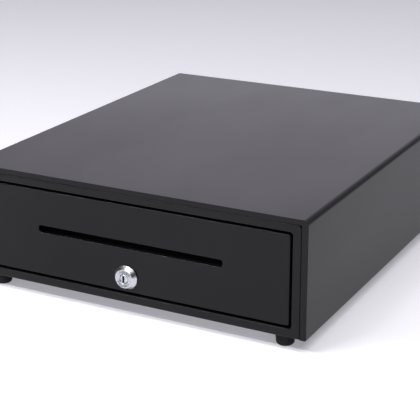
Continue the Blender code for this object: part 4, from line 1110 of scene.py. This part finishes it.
def studio_light():
    """A pale band above the horizon, brightest to the left and behind, and three soft lights."""
    world = bpy.data.worlds.new("studio")
    bpy.context.scene.world = world
    world.use_nodes = True
    tree = world.node_tree
    background = tree.nodes["Background"]
    split = tree.nodes.new("ShaderNodeSeparateXYZ")
    tree.links.new(tree.nodes.new("ShaderNodeTexCoord").outputs["Generated"], split.inputs[0])
    level = grey_ramp(tree, split.outputs["Z"], 0.0,
                      ((0.0, 0.80), (0.14, 1.0), (0.22, 1.24), (0.30, 1.45), (0.37, 1.50),
                       (0.52, 0.38), (0.75, 0.22), (1.0, 0.22)))
    sideways = grey_ramp(tree, split.outputs["X"], -1.0,
                         ((-1.0, 0.25), (-0.76, 0.30), (-0.56, 0.82), (-0.42, 1.0),
                          (-0.28, 0.92), (0.0, 0.85), (0.20, 0.30), (1.0, 0.12)))
    depth = grey_ramp(tree, split.outputs["Y"], -1.0,
                      ((-1.0, 0.25), (-0.20, 0.25), (0.15, 1.0), (1.0, 1.0)))
    for factor in (sideways, depth):
        product = tree.nodes.new("ShaderNodeMath")
        product.operation = "MULTIPLY"
        tree.links.new(level, product.inputs[0])
        tree.links.new(factor, product.inputs[1])
        level = product.outputs[0]
    tree.links.new(level, background.inputs["Strength"])
    background.inputs["Color"].default_value = (0.985, 0.95, 1.07, 1.0)
    area_light("overhead", (0.62, -0.55, 2.0), (0.62, -0.55, 0), (2.2, 0.6), 30.0)
    area_light("fill", (0.9, -2.0, 1.6), (0, 0, 0.05), (1.6, 1.6), 14.0)
    area_light("strip", (-0.9, -1.15, 1.6), (-0.9, -1.15, 0), (1.4, 0.12), 28.0)


def grey_ramp(tree, value, low, stops):
    """A level read from a direction's component, low to 1, through stops of (place, level)."""
    top = max(level for _, level in stops)
    spread = tree.nodes.new("ShaderNodeMapRange")
    spread.inputs["From Min"].default_value = low
    tree.links.new(value, spread.inputs["Value"])
    ramp = tree.nodes.new("ShaderNodeValToRGB")
    tree.links.new(spread.outputs["Result"], ramp.inputs["Fac"])
    ramp.color_ramp.elements[0].position, ramp.color_ramp.elements[1].position = 0.0, 1.0
    for place, _ in stops[1:-1]:
        ramp.color_ramp.elements.new((place - low) / (1.0 - low))
    for element, (_, level) in zip(ramp.color_ramp.elements, stops):
        element.color = (level / top, level / top, level / top, 1.0)
    scale = tree.nodes.new("ShaderNodeMath")
    scale.operation = "MULTIPLY"
    scale.inputs[1].default_value = top
    tree.links.new(ramp.outputs["Color"], scale.inputs[0])
    return scale.outputs[0]


def camera():
    """Above the right front corner, looking down on the case."""
    low, high = span("cover")
    centre = Vector(((low.x + high.x) / 2, (low.y + high.y) / 2, low.z))
    stand = Vector((0.5619, -1.1101, 0.4691))       # from the middle of the case's underside
    yaw, pitch, roll = (math.radians(v) for v in (27.806, 19.598, -0.124))
    data = bpy.data.cameras.new("camera")
    data.sensor_width = 36.0
    data.lens = 109.48
    data.clip_start, data.clip_end = 0.01, 60.0
    eye = placed("camera", data)
    eye.matrix_world = (Matrix.Translation(centre + stand) @ Matrix.Rotation(yaw, 4, "Z") @
                        Matrix.Rotation(math.pi / 2 - pitch, 4, "X") @
                        Matrix.Rotation(roll, 4, "Z"))
    bpy.context.scene.camera = eye


def paint_frame_nodes():
    """The CAD's own nodes take their slots' materials too, though a piece replaces each one."""
    for name, node in frame["nodes"].items():
        node.data.materials.clear()
        node.data.materials.append(MATERIALS[SLOT_OF[name]])


bpy.context.scene.view_settings.view_transform = "Standard"
make_materials()
paint_frame_nodes()
camera()
stage()
studio_light()
cover()
front_frame()
push_in_feet()
pan_head_screws()
base_plate()
rear_panel()
inlet()
drawer_front()
lock_face()
lock_fixings()
rollers_and_pins()
runners()
drawer_pan()
till()
coin_tray()
bill_clips()
latch()
solenoid()
ejector()
drawer_switch()
bend_brackets()
switch_leaf()
rails()
